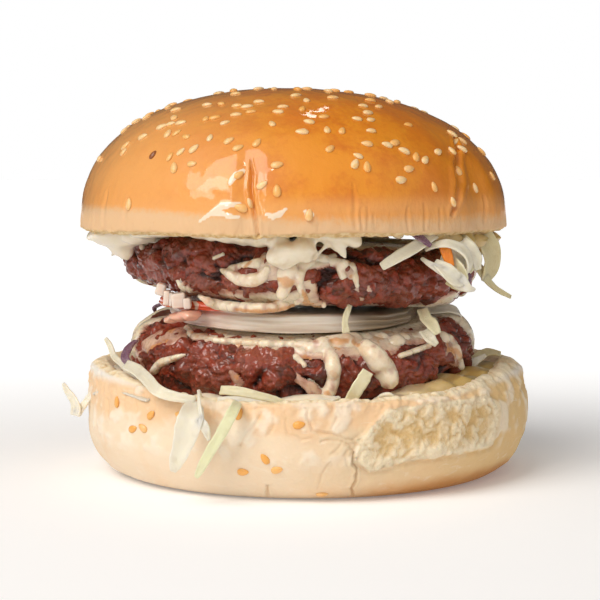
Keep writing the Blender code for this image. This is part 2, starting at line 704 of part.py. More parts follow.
def main():
    clear_scene()
    burger = bpy.data.collections.new("double_cheeseburger")
    helpers = bpy.data.collections.new("cutters")
    for collection in (burger, helpers):
        bpy.context.scene.collection.children.link(collection)

    crust = make_material("golden_crust", (0.80, 0.40, 0.10), 0.35)
    pale_bun = make_material("pale_bun", (0.88, 0.68, 0.45), 0.75)
    beef = make_material("beef", (0.17, 0.055, 0.035), 0.4)
    cheese = make_material("cheese", (0.85, 0.72, 0.50), 0.3)
    onion = make_material("onion", (0.75, 0.68, 0.55), 0.25)
    tomato = make_material("tomato", (0.75, 0.10, 0.03), 0.25)
    sauce = make_material("sauce", (0.85, 0.75, 0.52), 0.25)
    cabbage = make_material("cabbage", (0.85, 0.80, 0.60), 0.4)

    def fused(name, pieces, material):
        return joined(name, pieces, helpers, burger, material)

    def clear_of(obj, *neighbours):
        return cut_clear(obj, neighbours, helpers, burger)

    fallen = []
    for bearing, height, spin in HEEL_SEEDS:
        turn = math.radians(bearing)
        fallen.append(sesame_seed(surface_matrix(heel_point, turn, heel_travel(turn, height), math.radians(spin))))
    heel = fused("bun_heel", [round_body(40, 18, heel_point), *fallen], pale_bun)
    seeds = [sesame_seed(surface_matrix(crown_point, *spot)) for spot in seed_spots(SEED_COUNT)]
    crown = fused("bun_crown", [round_body(38, 16, crown_point), *seeds], crust)

    patties = []
    for name, patty in (("patty_lower", LOWER_PATTY), ("patty_upper", UPPER_PATTY)):
        meat = round_body(33, 13, lambda b, t: patty_point(b, t, patty))
        patties.append(add_object(name, moved(meat, patty), burger, beef))
    patty_lower, patty_upper = patties

    def melted_on(name, patty, reach, below, drips):
        return melted(name, patty, reach, below, drips, helpers, burger, cheese)

    cheese_upper = clear_of(melted_on("cheese_upper", UPPER_PATTY, 0.27, False, UPPER_DRIPS), patty_upper, crown)
    cheese_middle = melted_on("cheese_middle", UPPER_PATTY, 0.29, True, MIDDLE_DRIPS)
    cheese_middle = clear_of(cheese_middle, patty_upper, cheese_upper)
    cheese_lower = clear_of(melted_on("cheese_lower", LOWER_PATTY, 0.33, False, LOWER_DRIPS), patty_lower, heel)

    def onion_point(bearing, travel):
        return slice_point(bearing, travel, ONION_RADIUS, ONION_CENTRE, onion_bottom, onion_top, 0.02)

    def tomato_point(bearing, travel):
        return slice_point(bearing, travel, TOMATO_RADIUS, TOMATO_CENTRE, tomato_bottom, tomato_top, 0.03)

    onion_slice = add_object("onion_slice", round_body(32, 8, onion_point), burger, onion)
    onion_slice = clear_of(onion_slice, cheese_lower, cheese_middle)
    tomato_slice = add_object("tomato_slice", round_body(24, 8, tomato_point), burger, tomato)
    tomato_slice = clear_of(tomato_slice, cheese_middle, onion_slice)
    onion_end = add_object("onion_end", blob(*ONION_END), burger, onion)
    onion_end = clear_of(onion_end, patty_upper, cheese_middle, tomato_slice, onion_slice)
    wedge = add_object("tomato_wedge", blob(*TOMATO_WEDGE), burger, tomato)
    clear_of(wedge, cheese_lower, patty_lower, onion_slice, onion_end, tomato_slice)

    pool = fused("sauce_bed", [blob(*lump) for lump in BED_SAUCE], sauce)
    pool = clear_of(pool, heel, patty_lower, cheese_lower)
    bed = [layer(*BED_CORE, bed_bottom, bed_top, 3)]
    bed += [bed_shred(*shred) for shred in BED_SHREDS]
    bed += [bed_shred(*shred) for shred in scattered_shreds(5, 9, (80, 290), 49 * MM, 26.4 * MM, 6 * MM)]
    clear_of(fused("slaw_bed", bed, cabbage), heel, patty_lower, cheese_lower, pool)

    cream = [layer(*TOP_SAUCE_LAYER, sauce_bottom, sauce_top, 9), *(blob(*lump) for lump in TOP_SAUCE)]
    cream = clear_of(fused("sauce_top", cream, sauce), crown, patty_upper, cheese_upper)
    top = [layer(*TOP_CORE, slaw_bottom, slaw_top, 6)]
    top += [top_shred(*shred) for shred in TOP_SHREDS]
    top += [top_shred(*shred) for shred in scattered_shreds(8, 4, (74, 150), 45 * MM, 59.6 * MM, 7 * MM)]
    clear_of(fused("slaw_top", top, cabbage), crown, patty_upper, cheese_upper, cream)


main()
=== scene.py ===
"""Double cheeseburger with shredded cabbage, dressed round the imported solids.

Metres, +Z up, in the solids' own frame. A bearing is an angle round the stack: 0 faces -Y, the
camera, and 90 degrees faces +X. Travel runs over a round body's outline from 0, the bottom
middle, over the rim to 1, the top middle. Places read off the photograph are pixels of its
600 by 600 frame, and each is put on the piece that carries it.
"""

import itertools
import math
import random
from collections import namedtuple

import bmesh
import bpy
import numpy as np
from bpy.props import FloatProperty, FloatVectorProperty, IntProperty, PointerProperty
from mathutils import Matrix, Vector, noise
from mathutils.bvhtree import BVHTree


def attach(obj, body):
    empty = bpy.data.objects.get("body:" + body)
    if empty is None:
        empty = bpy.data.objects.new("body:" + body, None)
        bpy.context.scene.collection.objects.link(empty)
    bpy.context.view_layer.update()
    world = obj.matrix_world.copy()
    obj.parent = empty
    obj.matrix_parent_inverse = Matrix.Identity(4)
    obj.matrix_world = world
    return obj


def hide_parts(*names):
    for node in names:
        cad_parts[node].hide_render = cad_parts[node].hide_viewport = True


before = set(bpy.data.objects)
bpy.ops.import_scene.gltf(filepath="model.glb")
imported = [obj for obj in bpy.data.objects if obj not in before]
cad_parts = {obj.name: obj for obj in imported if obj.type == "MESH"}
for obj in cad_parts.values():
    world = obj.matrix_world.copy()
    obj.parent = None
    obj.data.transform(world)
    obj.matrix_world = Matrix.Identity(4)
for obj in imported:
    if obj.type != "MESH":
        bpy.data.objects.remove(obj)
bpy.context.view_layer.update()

bl_info = {
    "name": "Double cheeseburger",
    "version": (1, 0, 0),
    "blender": (4, 5, 0),
    "location": "3D View > Sidebar > Burger",
    "description": "Builds a double cheeseburger with shredded cabbage, layer by layer",
    "category": "Object",
}

MM = 0.001
BODY = "root"

# The photograph: its size and focal length in pixels, and the row of its horizon
PHOTO_MIDDLE = 300
PHOTO_FOCAL = 1740
PHOTO_HORIZON = 158
SENSOR_WIDTH = 36
CAMERA_TILT = math.atan((PHOTO_MIDDLE - PHOTO_HORIZON) / PHOTO_FOCAL)
VIEW_AHEAD = Vector((0, math.cos(CAMERA_TILT), -math.sin(CAMERA_TILT)))
VIEW_UP = Vector((0, math.sin(CAMERA_TILT), math.cos(CAMERA_TILT)))

# Light: the bearing and elevation of the sun in degrees, and of each window its name, bearing,
# elevation, size in metres and share of the power
KEY_FROM = (-48, 50)
KEY_SOFTNESS = math.radians(40)
KEY_TINT = (1.0, 0.97, 0.93)
WINDOW_TINT = (1.0, 0.95, 0.88)
WINDOW_DISTANCE = 0.75
WINDOWS = (
    ("window_left", -46, 35, (0.30, 0.20), 1.0),
    ("window_right", -24, 36, (0.12, 0.26), 0.6),
    ("lamp_front", -12, 54, (0.04, 0.04), 0.14),
    ("lamp_low", -34, 19, (0.05, 0.05), 0.28),
    ("lamp_back", 172, 56, (0.04, 0.04), 0.05),
)
LIT_POINT = (0, 0, 50 * MM)
ROOM_TINT = (1.0, 0.955, 0.90)
# The room fades between these Y parts of a direction, down to a share of its strength
ROOM_FADE = (-0.35, 0.55)
ROOM_BACK = 0.12
FLOOR_HALF_SIZE = 6.0

# Points round each body and rings of them from its bottom to its top
CROWN_MESH = (640, 150)
HEEL_MESH = (660, 145)
PATTY_MESH = (640, 148)
CHEESE_MESH = (480, 120)
SLICE_MESH = (300, 90)

# Bun crown
CROWN_BASE = 61.6 * MM
CROWN_CENTRE_X = -1.5 * MM
CROWN_LEAN = 1.4 * MM
CROWN_LIP = 1.6 * MM
CROWN_HOLLOW = 4.0 * MM
CROWN_FULLNESS = 2.25
CROWN_UNDER = 0.24
CROWN_LIP_TOP = 0.30
# Broad dents in the crown's side: bearing and half width in degrees, depth
CROWN_DENTS = ((-11, 4.5, 0.9 * MM), (57, 9.0, 1.2 * MM), (150, 7.5, 0.8 * MM), (-120, 9.0, 0.9 * MM))
# Lines in the photograph: each point is a column, a row and half a width in pixels
CROWN_CREASES = (
    (((251, 160, 0.8), (252, 175, 2.0), (251, 190, 2.2), (253, 207, 2.2), (256, 221, 2.2), (258, 236, 2.0)),
        0.95),
    (((455, 138, 1.5), (458, 150, 2.6), (457, 166, 3.0), (460, 182, 3.4), (458, 198, 2.8), (452, 214, 2.0)),
        0.8),
    (((353, 184, 1.0), (355, 200, 2.6), (354, 214, 2.6), (356, 228, 2.0)), 0.2),
    (((361, 206, 0.8), (361, 218, 1.4), (362, 230, 1.2)), 0.28),
    (((367, 208, 0.8), (368, 218, 1.4), (367, 230, 1.2)), 0.24),
    (((374, 214, 0.8), (374, 222, 1.2), (376, 231, 1.0)), 0.2),
    (((408, 206, 1.0), (407, 218, 2.0), (409, 230, 1.6)), 0.26),
    (((424, 204, 1.0), (426, 216, 1.8), (425, 229, 1.4)), 0.26),
    (((440, 208, 1.0), (441, 218, 1.6), (440, 229, 1.2)), 0.24),
    (((484, 196, 1.0), (486, 208, 1.8), (484, 222, 1.4)), 0.3),
    (((318, 214, 0.8), (319, 224, 1.4), (318, 233, 1.0)), 0.16),
    (((108, 190, 1.0), (104, 208, 2.0), (103, 226, 1.4)), 0.2),
    (((128, 196, 1.0), (125, 212, 1.8), (124, 228, 1.2)), 0.16),
)
# Cream that was smeared on the crown, as lines of the same kind
CROWN_SMEARS = (
    ((200, 221, 1.0), (207, 216, 2.2), (215, 211, 3.4), (222, 206, 3.8), (231, 204, 3.4), (243, 209, 2.4)),
    ((231, 182, 3.0), (235, 176, 3.6), (243, 171, 3.0)),
    ((266, 214, 1.6), (273, 217, 3.0), (281, 213, 3.2), (286, 209, 1.6)),
    ((304, 212, 1.6), (309, 216, 3.0), (314, 214, 1.8)),
    ((213, 214, 2.6), (223, 214, 2.6), (240, 217, 1.2)),
)

# A sesame seed's breadth, height and lift, as shares of its length, how its length varies, and the
# least distance between the seeds that are placed by rule
SEED_BREADTH = 0.62
SEED_HEIGHT = 0.36
SEED_LIFT = 0.03
SEED_SIZES = (0.86, 1.12)
SEED_SPACING = 3.4 * MM
SEED_TRIES = 5000
BROWN_TONE = 2.0
# Sesame seeds that can be told apart in the photograph: column, row, and turn in degrees
CROWN_SEEDS_SEEN = (
    (207, 105, 10), (221, 104, 160), (237, 106, 5), (259, 102, 0), (176, 110, 30), (174, 118, 150),
    (162, 127, 35), (171, 124, 20), (181, 123, 15), (168, 134, 100), (177, 133, 60), (186, 137, 170),
    (143, 137, 25), (126, 146, 60), (124, 152, 85), (206, 119, 100), (215, 118, 20), (225, 123, 35),
    (236, 115, 5), (251, 112, 10), (247, 107, 15), (272, 124, 120), (283, 107, 5), (278, 112, 170),
    (210, 138, 95), (229, 141, 45), (238, 148, 30), (257, 143, 70), (194, 149, 60), (181, 152, 60),
    (170, 157, 80), (174, 168, 110), (192, 164, 5), (239, 175, 35), (277, 165, 10), (262, 185, 35),
    (277, 191, 95), (250, 203, 120), (129, 204, 95), (309, 122, 160), (302, 132, 175), (327, 130, 85),
    (342, 131, 65), (324, 117, 5), (330, 149, 40), (333, 98, 0), (357, 119, 160), (371, 120, 10),
    (368, 113, 5), (371, 131, 175), (363, 106, 170), (379, 107, 10), (408, 125, 175), (367, 144, 170),
    (387, 145, 160), (395, 143, 20), (404, 151, 150), (416, 157, 60), (425, 160, 40), (438, 152, 20),
    (409, 169, 10), (358, 156, 150), (355, 164, 60), (367, 167, 80), (401, 180, 5), (434, 187, 100),
    (458, 171, 95), (452, 134, 110), (455, 142, 60), (462, 141, 130), (452, 151, 100), (462, 149, 140),
    (475, 188, 95), (453, 202, 100), (241, 208, 165), (492, 176, 100), (309, 215, 80),
)
BROWN_SEED_SEEN = (153, 155, 75)
HEEL_SEEDS_SEEN = (
    (117, 402, 85), (151, 415, 40), (180, 415, 170), (133, 429, 20), (143, 428, 150), (243, 472, 5),
    (265, 459, 125), (277, 470, 15), (239, 414, 70), (299, 425, 10), (322, 494, 5),
)

# Bun heel
HEEL_CENTRE_X = 2.0 * MM
HEEL_FOOT_RADIUS = 46 * MM
HEEL_BELLY = 13 * MM
HEEL_RIGHT_BELLY = 17.5 * MM
HEEL_RIM = 24 * MM
HEEL_SIDE_RISE = 4.4 * MM
HEEL_BACK_RISE = 2.6 * MM
HEEL_DISH = 4.5 * MM
HEEL_FRONT_EDGE = 1.6 * MM
HEEL_LEFT_EDGE = 2.4 * MM
HEEL_RIGHT_EDGE = 5.5 * MM
HEEL_TAPER = 1.0 * MM
HEEL_LUMP = 22 * MM
# Outline in the photograph of the patch where the crust is torn off, clockwise, in pixels
TEAR_OUTLINE = (
    (354, 456), (359, 446), (356, 439), (364, 433), (371, 424), (381, 419), (386, 410), (400, 407),
    (430, 402),
    (460, 399), (484, 395), (496, 401), (499, 414), (498, 430), (494, 444), (481, 449), (456, 453),
    (432, 458),
    (410, 461), (392, 466), (370, 472), (360, 465),
)
# Cracks and folds in the heel's crust: points as for the crown, and a depth in millimetres
HEEL_CRACKS = (
    (((354, 454, 1.2), (352, 463, 1.6), (357, 471, 1.5), (356, 480, 1.6), (351, 488, 1.3), (355, 499, 1.8)),
        1.3),
    (((354, 454, 1.6), (351, 445, 2.0), (343, 441, 2.0), (333, 439, 2.0), (322, 441, 1.2)), 0.5),
    (((343, 441, 1.2), (338, 449, 1.8), (330, 455, 1.2)), 0.3),
    (((351, 446, 1.2), (345, 455, 1.8), (347, 465, 1.2)), 0.3),
    (((330, 462, 0.8), (322, 474, 1.6), (318, 488, 1.0)), 0.35),
    (((306, 408, 1.0), (307, 420, 2.0), (313, 430, 2.0), (324, 434, 2.2), (338, 436, 1.8), (352, 440, 1.4)),
        0.55),
    (((267, 486, 1.0), (267, 493, 2.0), (268, 500, 2.6)), 1.0),
    (((262, 412, 1.0), (256, 424, 2.2), (246, 436, 2.6), (240, 446, 1.4)), 0.4),
    (((274, 408, 1.0), (275, 424, 2.0), (268, 436, 2.0)), 0.3),
    (((285, 420, 1.0), (288, 434, 2.2), (300, 440, 2.0), (312, 438, 1.2)), 0.35),
    (((124, 394, 1.2), (123, 404, 2.0), (125, 412, 1.2)), 0.45),
    (((136, 395, 1.0), (135, 404, 1.6), (136, 412, 1.0)), 0.4),
    (((108, 398, 1.0), (107, 408, 1.8), (109, 420, 1.2)), 0.35),
    (((150, 398, 1.0), (155, 407, 1.8), (153, 416, 1.2)), 0.3),
    (((216, 400, 1.0), (214, 412, 2.2), (218, 426, 1.4)), 0.3),
    (((334, 410, 1.0), (336, 420, 1.8), (331, 430, 1.2)), 0.3),
)

# Beef patties, as in the solids: the lower one has the broader foot, the upper one the broader top
PATTY_NARROW = 33 * MM
PATTY_BROAD = 38 * MM
PATTY_SIDE = (0.30, 0.70)
PATTY_LUMP = 10 * MM
PATTY_RELIEF = 1.4 * MM
Patty = namedtuple("Patty", "centre half turn foot top shoulder seed")
LOWER_PATTY = Patty(
    centre=Vector((1.0, 0.0, 30.2)) * MM, half=7.6 * MM, turn=Matrix.Rotation(math.radians(2.4), 4, "X"),
    foot=PATTY_BROAD, top=PATTY_NARROW, shoulder=1.8 * MM, seed=17,
)
UPPER_PATTY = Patty(
    centre=Vector((0.0, 0.0, 52.0)) * MM, half=6.4 * MM, turn=Matrix.Rotation(math.radians(3.2), 4, "Y"),
    foot=PATTY_NARROW, top=PATTY_BROAD, shoulder=0.0, seed=31,
)

# Where the rings of points of each round body lie: shares of the rings, and the travels they reach
CROWN_SPREAD = ((0, 0.10, 0.20, 1), (0, CROWN_UNDER, CROWN_LIP_TOP, 1))
HEEL_SPREAD = ((0, 0.04, 0.80, 1), (0, 0.22, 0.64, 1))
PATTY_SPREAD = ((0, 0.10, 0.90, 1), (0, *PATTY_SIDE, 1))

# Thin melted cheese in the photograph: the line of each run in pixels, and its depth in millimetres
UPPER_RUNS = (
    (((314, 262, 7), (326, 262, 5), (334, 258, 3)), 0.9),
    (((347, 266, 6), (352, 276, 7), (356, 288, 6), (362, 296, 4)), 0.55),
    (((266, 262, 12), (276, 280, 12), (284, 298, 9)), 0.6),
    (((300, 256, 13), (306, 280, 9), (312, 300, 7)), 0.6),
    (((374, 274, 3), (378, 272, 2.5)), 0.6),
    (((366, 286, 4), (372, 296, 5)), 0.35),
)
MIDDLE_RUNS = (
    (((179, 277, 1.8), (184, 287, 2.6), (196, 294, 4), (210, 298, 6), (226, 300, 8), (246, 302, 8)), 1.2),
    (((246, 302, 8), (266, 300, 8.5), (284, 298, 9), (297, 296, 6)), 1.3),
    (((298, 297, 5), (312, 304, 4.5), (330, 308, 3), (348, 309, 2)), 1.0),
)
LOWER_RUNS = (
    (((193, 337, 3), (212, 340, 5), (232, 341, 6), (258, 344, 7), (284, 345, 7), (304, 345, 9)), 0.8),
    (((148, 346, 7), (163, 338, 9), (180, 333, 7)), 0.35),
    (((302, 348, 9), (330, 344, 14), (360, 342, 14), (392, 342, 10)), 0.7),
    (((298, 376, 4), (310, 388, 6), (322, 397, 6)), 0.35),
    (((396, 336, 9), (414, 336, 8), (430, 333, 7)), 0.6),
    (((440, 338, 7), (450, 348, 8), (457, 362, 6)), 0.4),
    (((462, 376, 5), (467, 388, 7), (466, 398, 6)), 0.45),
    (((138, 354, 4), (140, 368, 4), (146, 378, 4)), 0.4),
    (((232, 372, 4), (240, 382, 5)), 0.3),
)
# Thick runs of cheese in the photograph: each point is a column, a row and half a width, in pixels,
# then how far the run stands out, in millimetres
UPPER_DRIPS = (
    (((222, 270, 2.5), (230, 275, 5), (240, 279, 7), (252, 280, 7.5), (262, 277, 6.5), (268, 270, 5)), 1.9),
    (((231, 268, 3.5), (246, 265, 4.5), (260, 263, 6)), 0.8),
    (((276, 243, 10), (282, 256, 13), (287, 268, 12), (286, 280, 9), (283, 291, 7), (279, 301, 5)), 1.8),
    (((300, 247, 11), (306, 258, 11), (302, 270, 8), (299, 281, 4.5), (303, 293, 4.5), (312, 301, 4.5),
        (324, 305, 3)), 1.5),
    (((312, 258, 8), (328, 261, 6), (344, 264, 5)), 1.1),
    (((340, 268, 5), (343, 277, 4.5)), 1.2),
    (((352, 266, 4.5), (355, 276, 4), (357, 286, 3)), 0.7),
    (((142, 247, 3.5), (151, 240, 3.5)), 1.0),
    (((214, 258, 2.2), (223, 255, 2.5)), 0.8),
    (((180, 279, 1.2), (185, 288, 1.8), (195, 294, 2.2), (204, 299, 3.4), (212, 303, 4.2)), 0.8),
    (((207, 301, 4), (214, 304, 5.4), (224, 306, 6), (236, 307, 6.2), (250, 308, 6), (264, 308, 5.8),
        (278, 307, 5.4), (291, 303, 5), (303, 298, 4)), 1.3),
)
LOWER_DRIPS = (
    (((187, 329, 4.5), (192, 335, 4)), 1.1),
    (((193, 337, 2.5), (212, 340, 3.5), (232, 342, 4), (258, 344, 4.5), (284, 345, 5), (304, 346, 6)), 1.2),
    (((154, 371, 4.5), (160, 364, 5), (171, 359, 4.2), (185, 355, 2)), 1.3),
    (((312, 350, 9), (330, 345, 11), (350, 342, 11), (372, 341, 11), (392, 344, 8)), 1.7),
    (((328, 352, 8), (333, 366, 8.5), (333, 380, 7.5), (328, 395, 7)), 1.9),
    (((366, 349, 10), (375, 357, 12), (382, 367, 12.5), (387, 376, 11), (389, 382, 7)), 3.0),
    (((398, 340, 8), (414, 338, 7), (430, 336, 6)), 1.1),
    (((400, 356, 3.2), (414, 351, 3.2), (429, 346, 3.2)), 1.2),
    (((442, 336, 6), (452, 345, 7), (459, 360, 5), (463, 376, 4), (466, 392, 4)), 0.9),
    (((296, 357, 4.5), (304, 365, 4)), 0.8),
    (((311, 380, 5), (317, 390, 5)), 0.7),
)
# Blocks of onion in the photograph: column, row, depth and turn in degrees, and sizes in millimetres
ONION_BLOCKS = (
    (161, 289, -27, 18, (2.3, 5, 2.9)), (167, 297.5, -28.5, 4, (1.5, 5, 3.6)),
    (171.5, 299, -29, 2, (0.9, 5, 3.4)),
    (179, 300, -30, -6, (3.4, 5, 3.6)), (187.5, 303, -31, -4, (1.8, 5, 2.6)),
)
# Lines in the photograph where the cheese is stained orange or brown
CHEESE_STAINS = (
    ((279, 279, 2.5), (285, 282, 5.5), (292, 283, 3.5)), ((303, 291, 2), (306, 300, 3), (318, 307, 3)),
    ((236, 309, 1.5), (256, 312, 2.5), (276, 311, 2.5), (294, 305, 2)), ((269, 296, 2), (276, 300, 3)),
    ((331, 341, 3), (338, 341, 4), (346, 342, 3)), ((449, 349, 3), (455, 352, 4.5), (460, 356, 3)),
    ((163, 325, 3), (172, 331, 3)), ((193, 333, 2), (200, 334, 2)), ((463, 386, 4), (472, 394, 6)),
    ((326, 394, 3), (332, 400, 3)), ((353, 341, 2), (358, 345, 2)), ((246, 266, 2), (250, 262, 1.5)),
)
# Runs on the sides and the back: each point is a bearing in degrees, a height over the patty's
# middle and half a width in millimetres, and then comes the depth in millimetres
UPPER_SIDE_RUNS = (
    (((84, 7, 5), (86, 3, 4), (88, -1, 3.2), (89, -3, 3.4)), 2.0),
    (((112, 7, 8), (118, 4, 5), (121, 1.5, 3)), 1.6),
    (((150, 7, 9), (154, 3, 5), (156, -2, 3.6), (157, -5, 3.8)), 2.2),
    (((176, 7, 8), (181, 4, 5), (184, 2, 3)), 1.5),
    (((-152, 7, 7), (-150, 3, 4), (-149, -1, 3.4)), 1.9),
    (((-118, 7, 8), (-112, 4, 5), (-109, 0, 3.6)), 2.0),
    (((-86, 7, 6), (-84, 4.5, 4)), 1.2),
)
MIDDLE_SIDE_RUNS = (
    (((60, -7, 4), (64, -5, 4), (70, -6, 3)), 1.3), (((132, -7, 7), (137, -4.5, 5), (146, -6, 3)), 1.6),
    (((-172, -7, 7), (-166, -4, 4), (-158, -6, 3)), 1.5),
    (((-100, -7, 8), (-96, -4.5, 4), (-88, -6, 3)), 1.4),
)
LOWER_SIDE_RUNS = (
    (((92, 9, 6), (95, 5, 5), (97, 0, 4), (98, -3, 4.4)), 2.2),
    (((118, 8, 8), (123, 5, 5), (126, 3, 3)), 1.6),
    (((146, 8, 7), (149, 4, 4.5), (150, -1, 3.6), (151, -4, 4)), 2.1),
    (((172, 8, 9), (177, 5, 6), (182, 3, 4)), 1.7),
    (((-164, 8, 8), (-161, 3, 5), (-160, -3, 4), (-160, -5, 4.4)), 2.4),
    (((-132, 8, 7), (-127, 5, 5)), 1.6),
    (((-104, 8, 7), (-101, 4, 4.5), (-99, 0, 3.8)), 1.9), (((-80, 8, 5), (-76, 5, 4), (-74, 2, 3)), 1.2),
)
# Runs blend where they meet, the more sharply the larger this is
RUN_BLEND = 3.0
RUN_EDGE_SLOPE = 1.2
# The depth in millimetres of a place with no cheese, and the depth at which cheese ends
BARE = -1.5
CHEESE_EDGE = -0.3
CHEESE_WALL = 0.6 * MM
FEWEST_FACES = 60
# Radius in millimetres at which a degree round a patty is measured, and the share of their given
# widths that the runs on the sides take
PATTY_REACH = 44
SIDE_RUN_SLIMMING = 0.62
# A thick run is made of balls. It steps along its line in pixels, looks for its surface up to some
# rows higher, takes its depth a little farther in, and never jumps to a surface far behind
DRIP_STEP = 2.0
DRIP_SEARCH = 40
DRIP_INWARD = 6
DRIP_JUMP = 9 * MM
DRIP_STEEPNESS = 1.6

# Onion and tomato between the patties
ONION_CENTRE = Vector((-1.0, -7.0, 0)) * MM
ONION_RADIUS = 31 * MM
ONION_TOP = 42.5 * MM
ONION_TOP_SLOPE = -0.022
TOMATO_RADIUS = 16 * MM
TOMATO_CENTRE = Vector((-19, -16, 0)) * MM
ONION_CHEESE_ROOM = 2.3 * MM
# How much of a slice's radius its flat faces take up, and how much its rounded edge adds
SLICE_FLAT = 0.96
SLICE_SWELL = 0.04
TOMATO_LUMPS_SEEN = (
    (181, 317, -29, (3.6, 4.5, 1.3)), (172, 319, -27, (2.2, 3.6, 1.0)), (190, 315, -31, (3.2, 4.2, 1.4)),
)
TOMATO_FLECK_SEEN = ((193, 300, 1.6), (197, 305, 2.4), (196, 311, 1.4))
# How fine soft bodies are when their lumps are fused
LUMP_VOXEL = 0.4 * MM
DRIP_VOXEL = 0.36 * MM
CREAM_VOXEL = 0.45 * MM
BED_VOXEL = 0.5 * MM

# Lumps of cream: column, row, depth behind the origin in millimetres, and three half sizes in
# millimetres
TOP_CREAM_SEEN = (
    (108, 235, -16, (5.5, 6, 2.4)), (122, 237, -18, (6, 6, 3.4)), (137, 235, -22, (5, 5, 2.6)),
    (121, 244, -18, (3.6, 3.6, 3.0)), (126, 250, -18, (2.2, 2.4, 2.6)), (127, 254, -18, (1.2, 1.4, 1.6)),
    (99, 238, -15, (1.6, 2, 1.4)), (98, 241, -15, (0.7, 1, 1.0)), (146, 233, -28, (4, 5, 1.6)),
    (160, 233, -36, (4, 4, 1.2)), (172, 233, -38, (3, 4, 1.0)), (202, 234, -41, (3.4, 4, 1.4)),
    (211, 236, -42, (2.2, 3, 1.4)),
    (228, 235, -42, (4.5, 5, 2.0)), (244, 236, -43, (5, 5, 2.2)), (260, 238, -44, (4.5, 5, 2.2)),
    (273, 239, -44.5, (3.6, 4, 2.2)),
    (281, 240, -45, (2.2, 3, 2.4)), (283, 246, -46, (2.0, 2.4, 2.4)),
    (292, 252, -47, (5.4, 3.4, 2.6)), (303, 250, -47, (3.4, 3.4, 3.0)), (283, 257, -46.5, (4.2, 3.0, 2.8)),
    (324, 236, -45, (3.4, 4, 1.6)), (336, 238, -45, (3.6, 4, 1.8)), (348, 238, -46, (3.2, 3.4, 2.0)),
    (354, 241, -46.5, (1.9, 2.2, 1.9)),
    (338, 245, -46, (1.8, 1.6, 1.8)), (342, 250, -46, (1.1, 1.0, 1.6)), (345, 255, -45.5, (0.6, 0.6, 1.2)),
    (398, 234, -42, (1.6, 2, 1.2)), (436, 234, -38, (3.0, 3, 1.6)), (448, 238, -34, (3.6, 4, 2.4)),
    (460, 239, -30, (4, 4.4, 2.8)), (472, 240, -25, (3.6, 4.4, 2.8)), (480, 244, -20, (2.2, 3, 3.2)),
    (452, 246, -33, (2.4, 2.6, 1.8)),
)
# Strings of cream: each point is a column, a row, a depth and a radius, the last two in millimetres
TOP_STRINGS_SEEN = (
    ((284, 236, -46, 0.7), (296, 234, -47, 0.5), (308, 236, -47, 0.8)),
    ((317, 234, -46, 1.2), (314, 241, -47, 0.9), (311, 249, -47, 1.0), (307, 257, -47, 1.6)),
    ((281, 238, -46, 1.2), (283, 245, -46.5, 1.2), (286, 252, -47, 1.8)),
    ((330, 242, -46, 1.0), (322, 250, -46, 0.5), (314, 258, -46, 0.8)),
)
# Lumps of cream placed by their middle, with half sizes, in millimetres
TOP_CREAM = (
    ((-3, 0, 62.4), (36, 36, 1.3)), ((-30, 34, 61.0), (9, 8, 2.4)), ((8, 44, 60.2), (8, 5, 2.8)),
    ((-8, 45, 58.6), (3.4, 3, 3.4)),
    ((38, 26, 60.4), (8, 8, 2.6)), ((45, 12, 59.4), (4, 6, 3.2)), ((-42, 16, 60.6), (6, 8, 2.4)),
    ((42, -18, 60.4), (8, 8, 2.2)),
)
BED_CREAM = (
    ((30, -34, 22.4), (11, 8, 3.6)), ((38, -28, 23.2), (9, 9, 4.2)), ((44, -20, 24.0), (7, 9, 3.8)),
    ((23, -42, 21.6), (6, 4.5, 2.6)),
    ((47, -8, 25.2), (5, 7, 2.8)), ((-22, -43.5, 22.8), (5, 4, 1.8)), ((34, -36, 24.4), (4, 4, 2.6)),
    ((3, -44, 22.6), (9, 3.6, 1.8)),
    ((-46, -6, 25.0), (4, 9, 2.0)), ((-20, 42, 23.4), (9, 6, 2.2)), ((26, 40, 23.8), (8, 6, 2.4)),
)

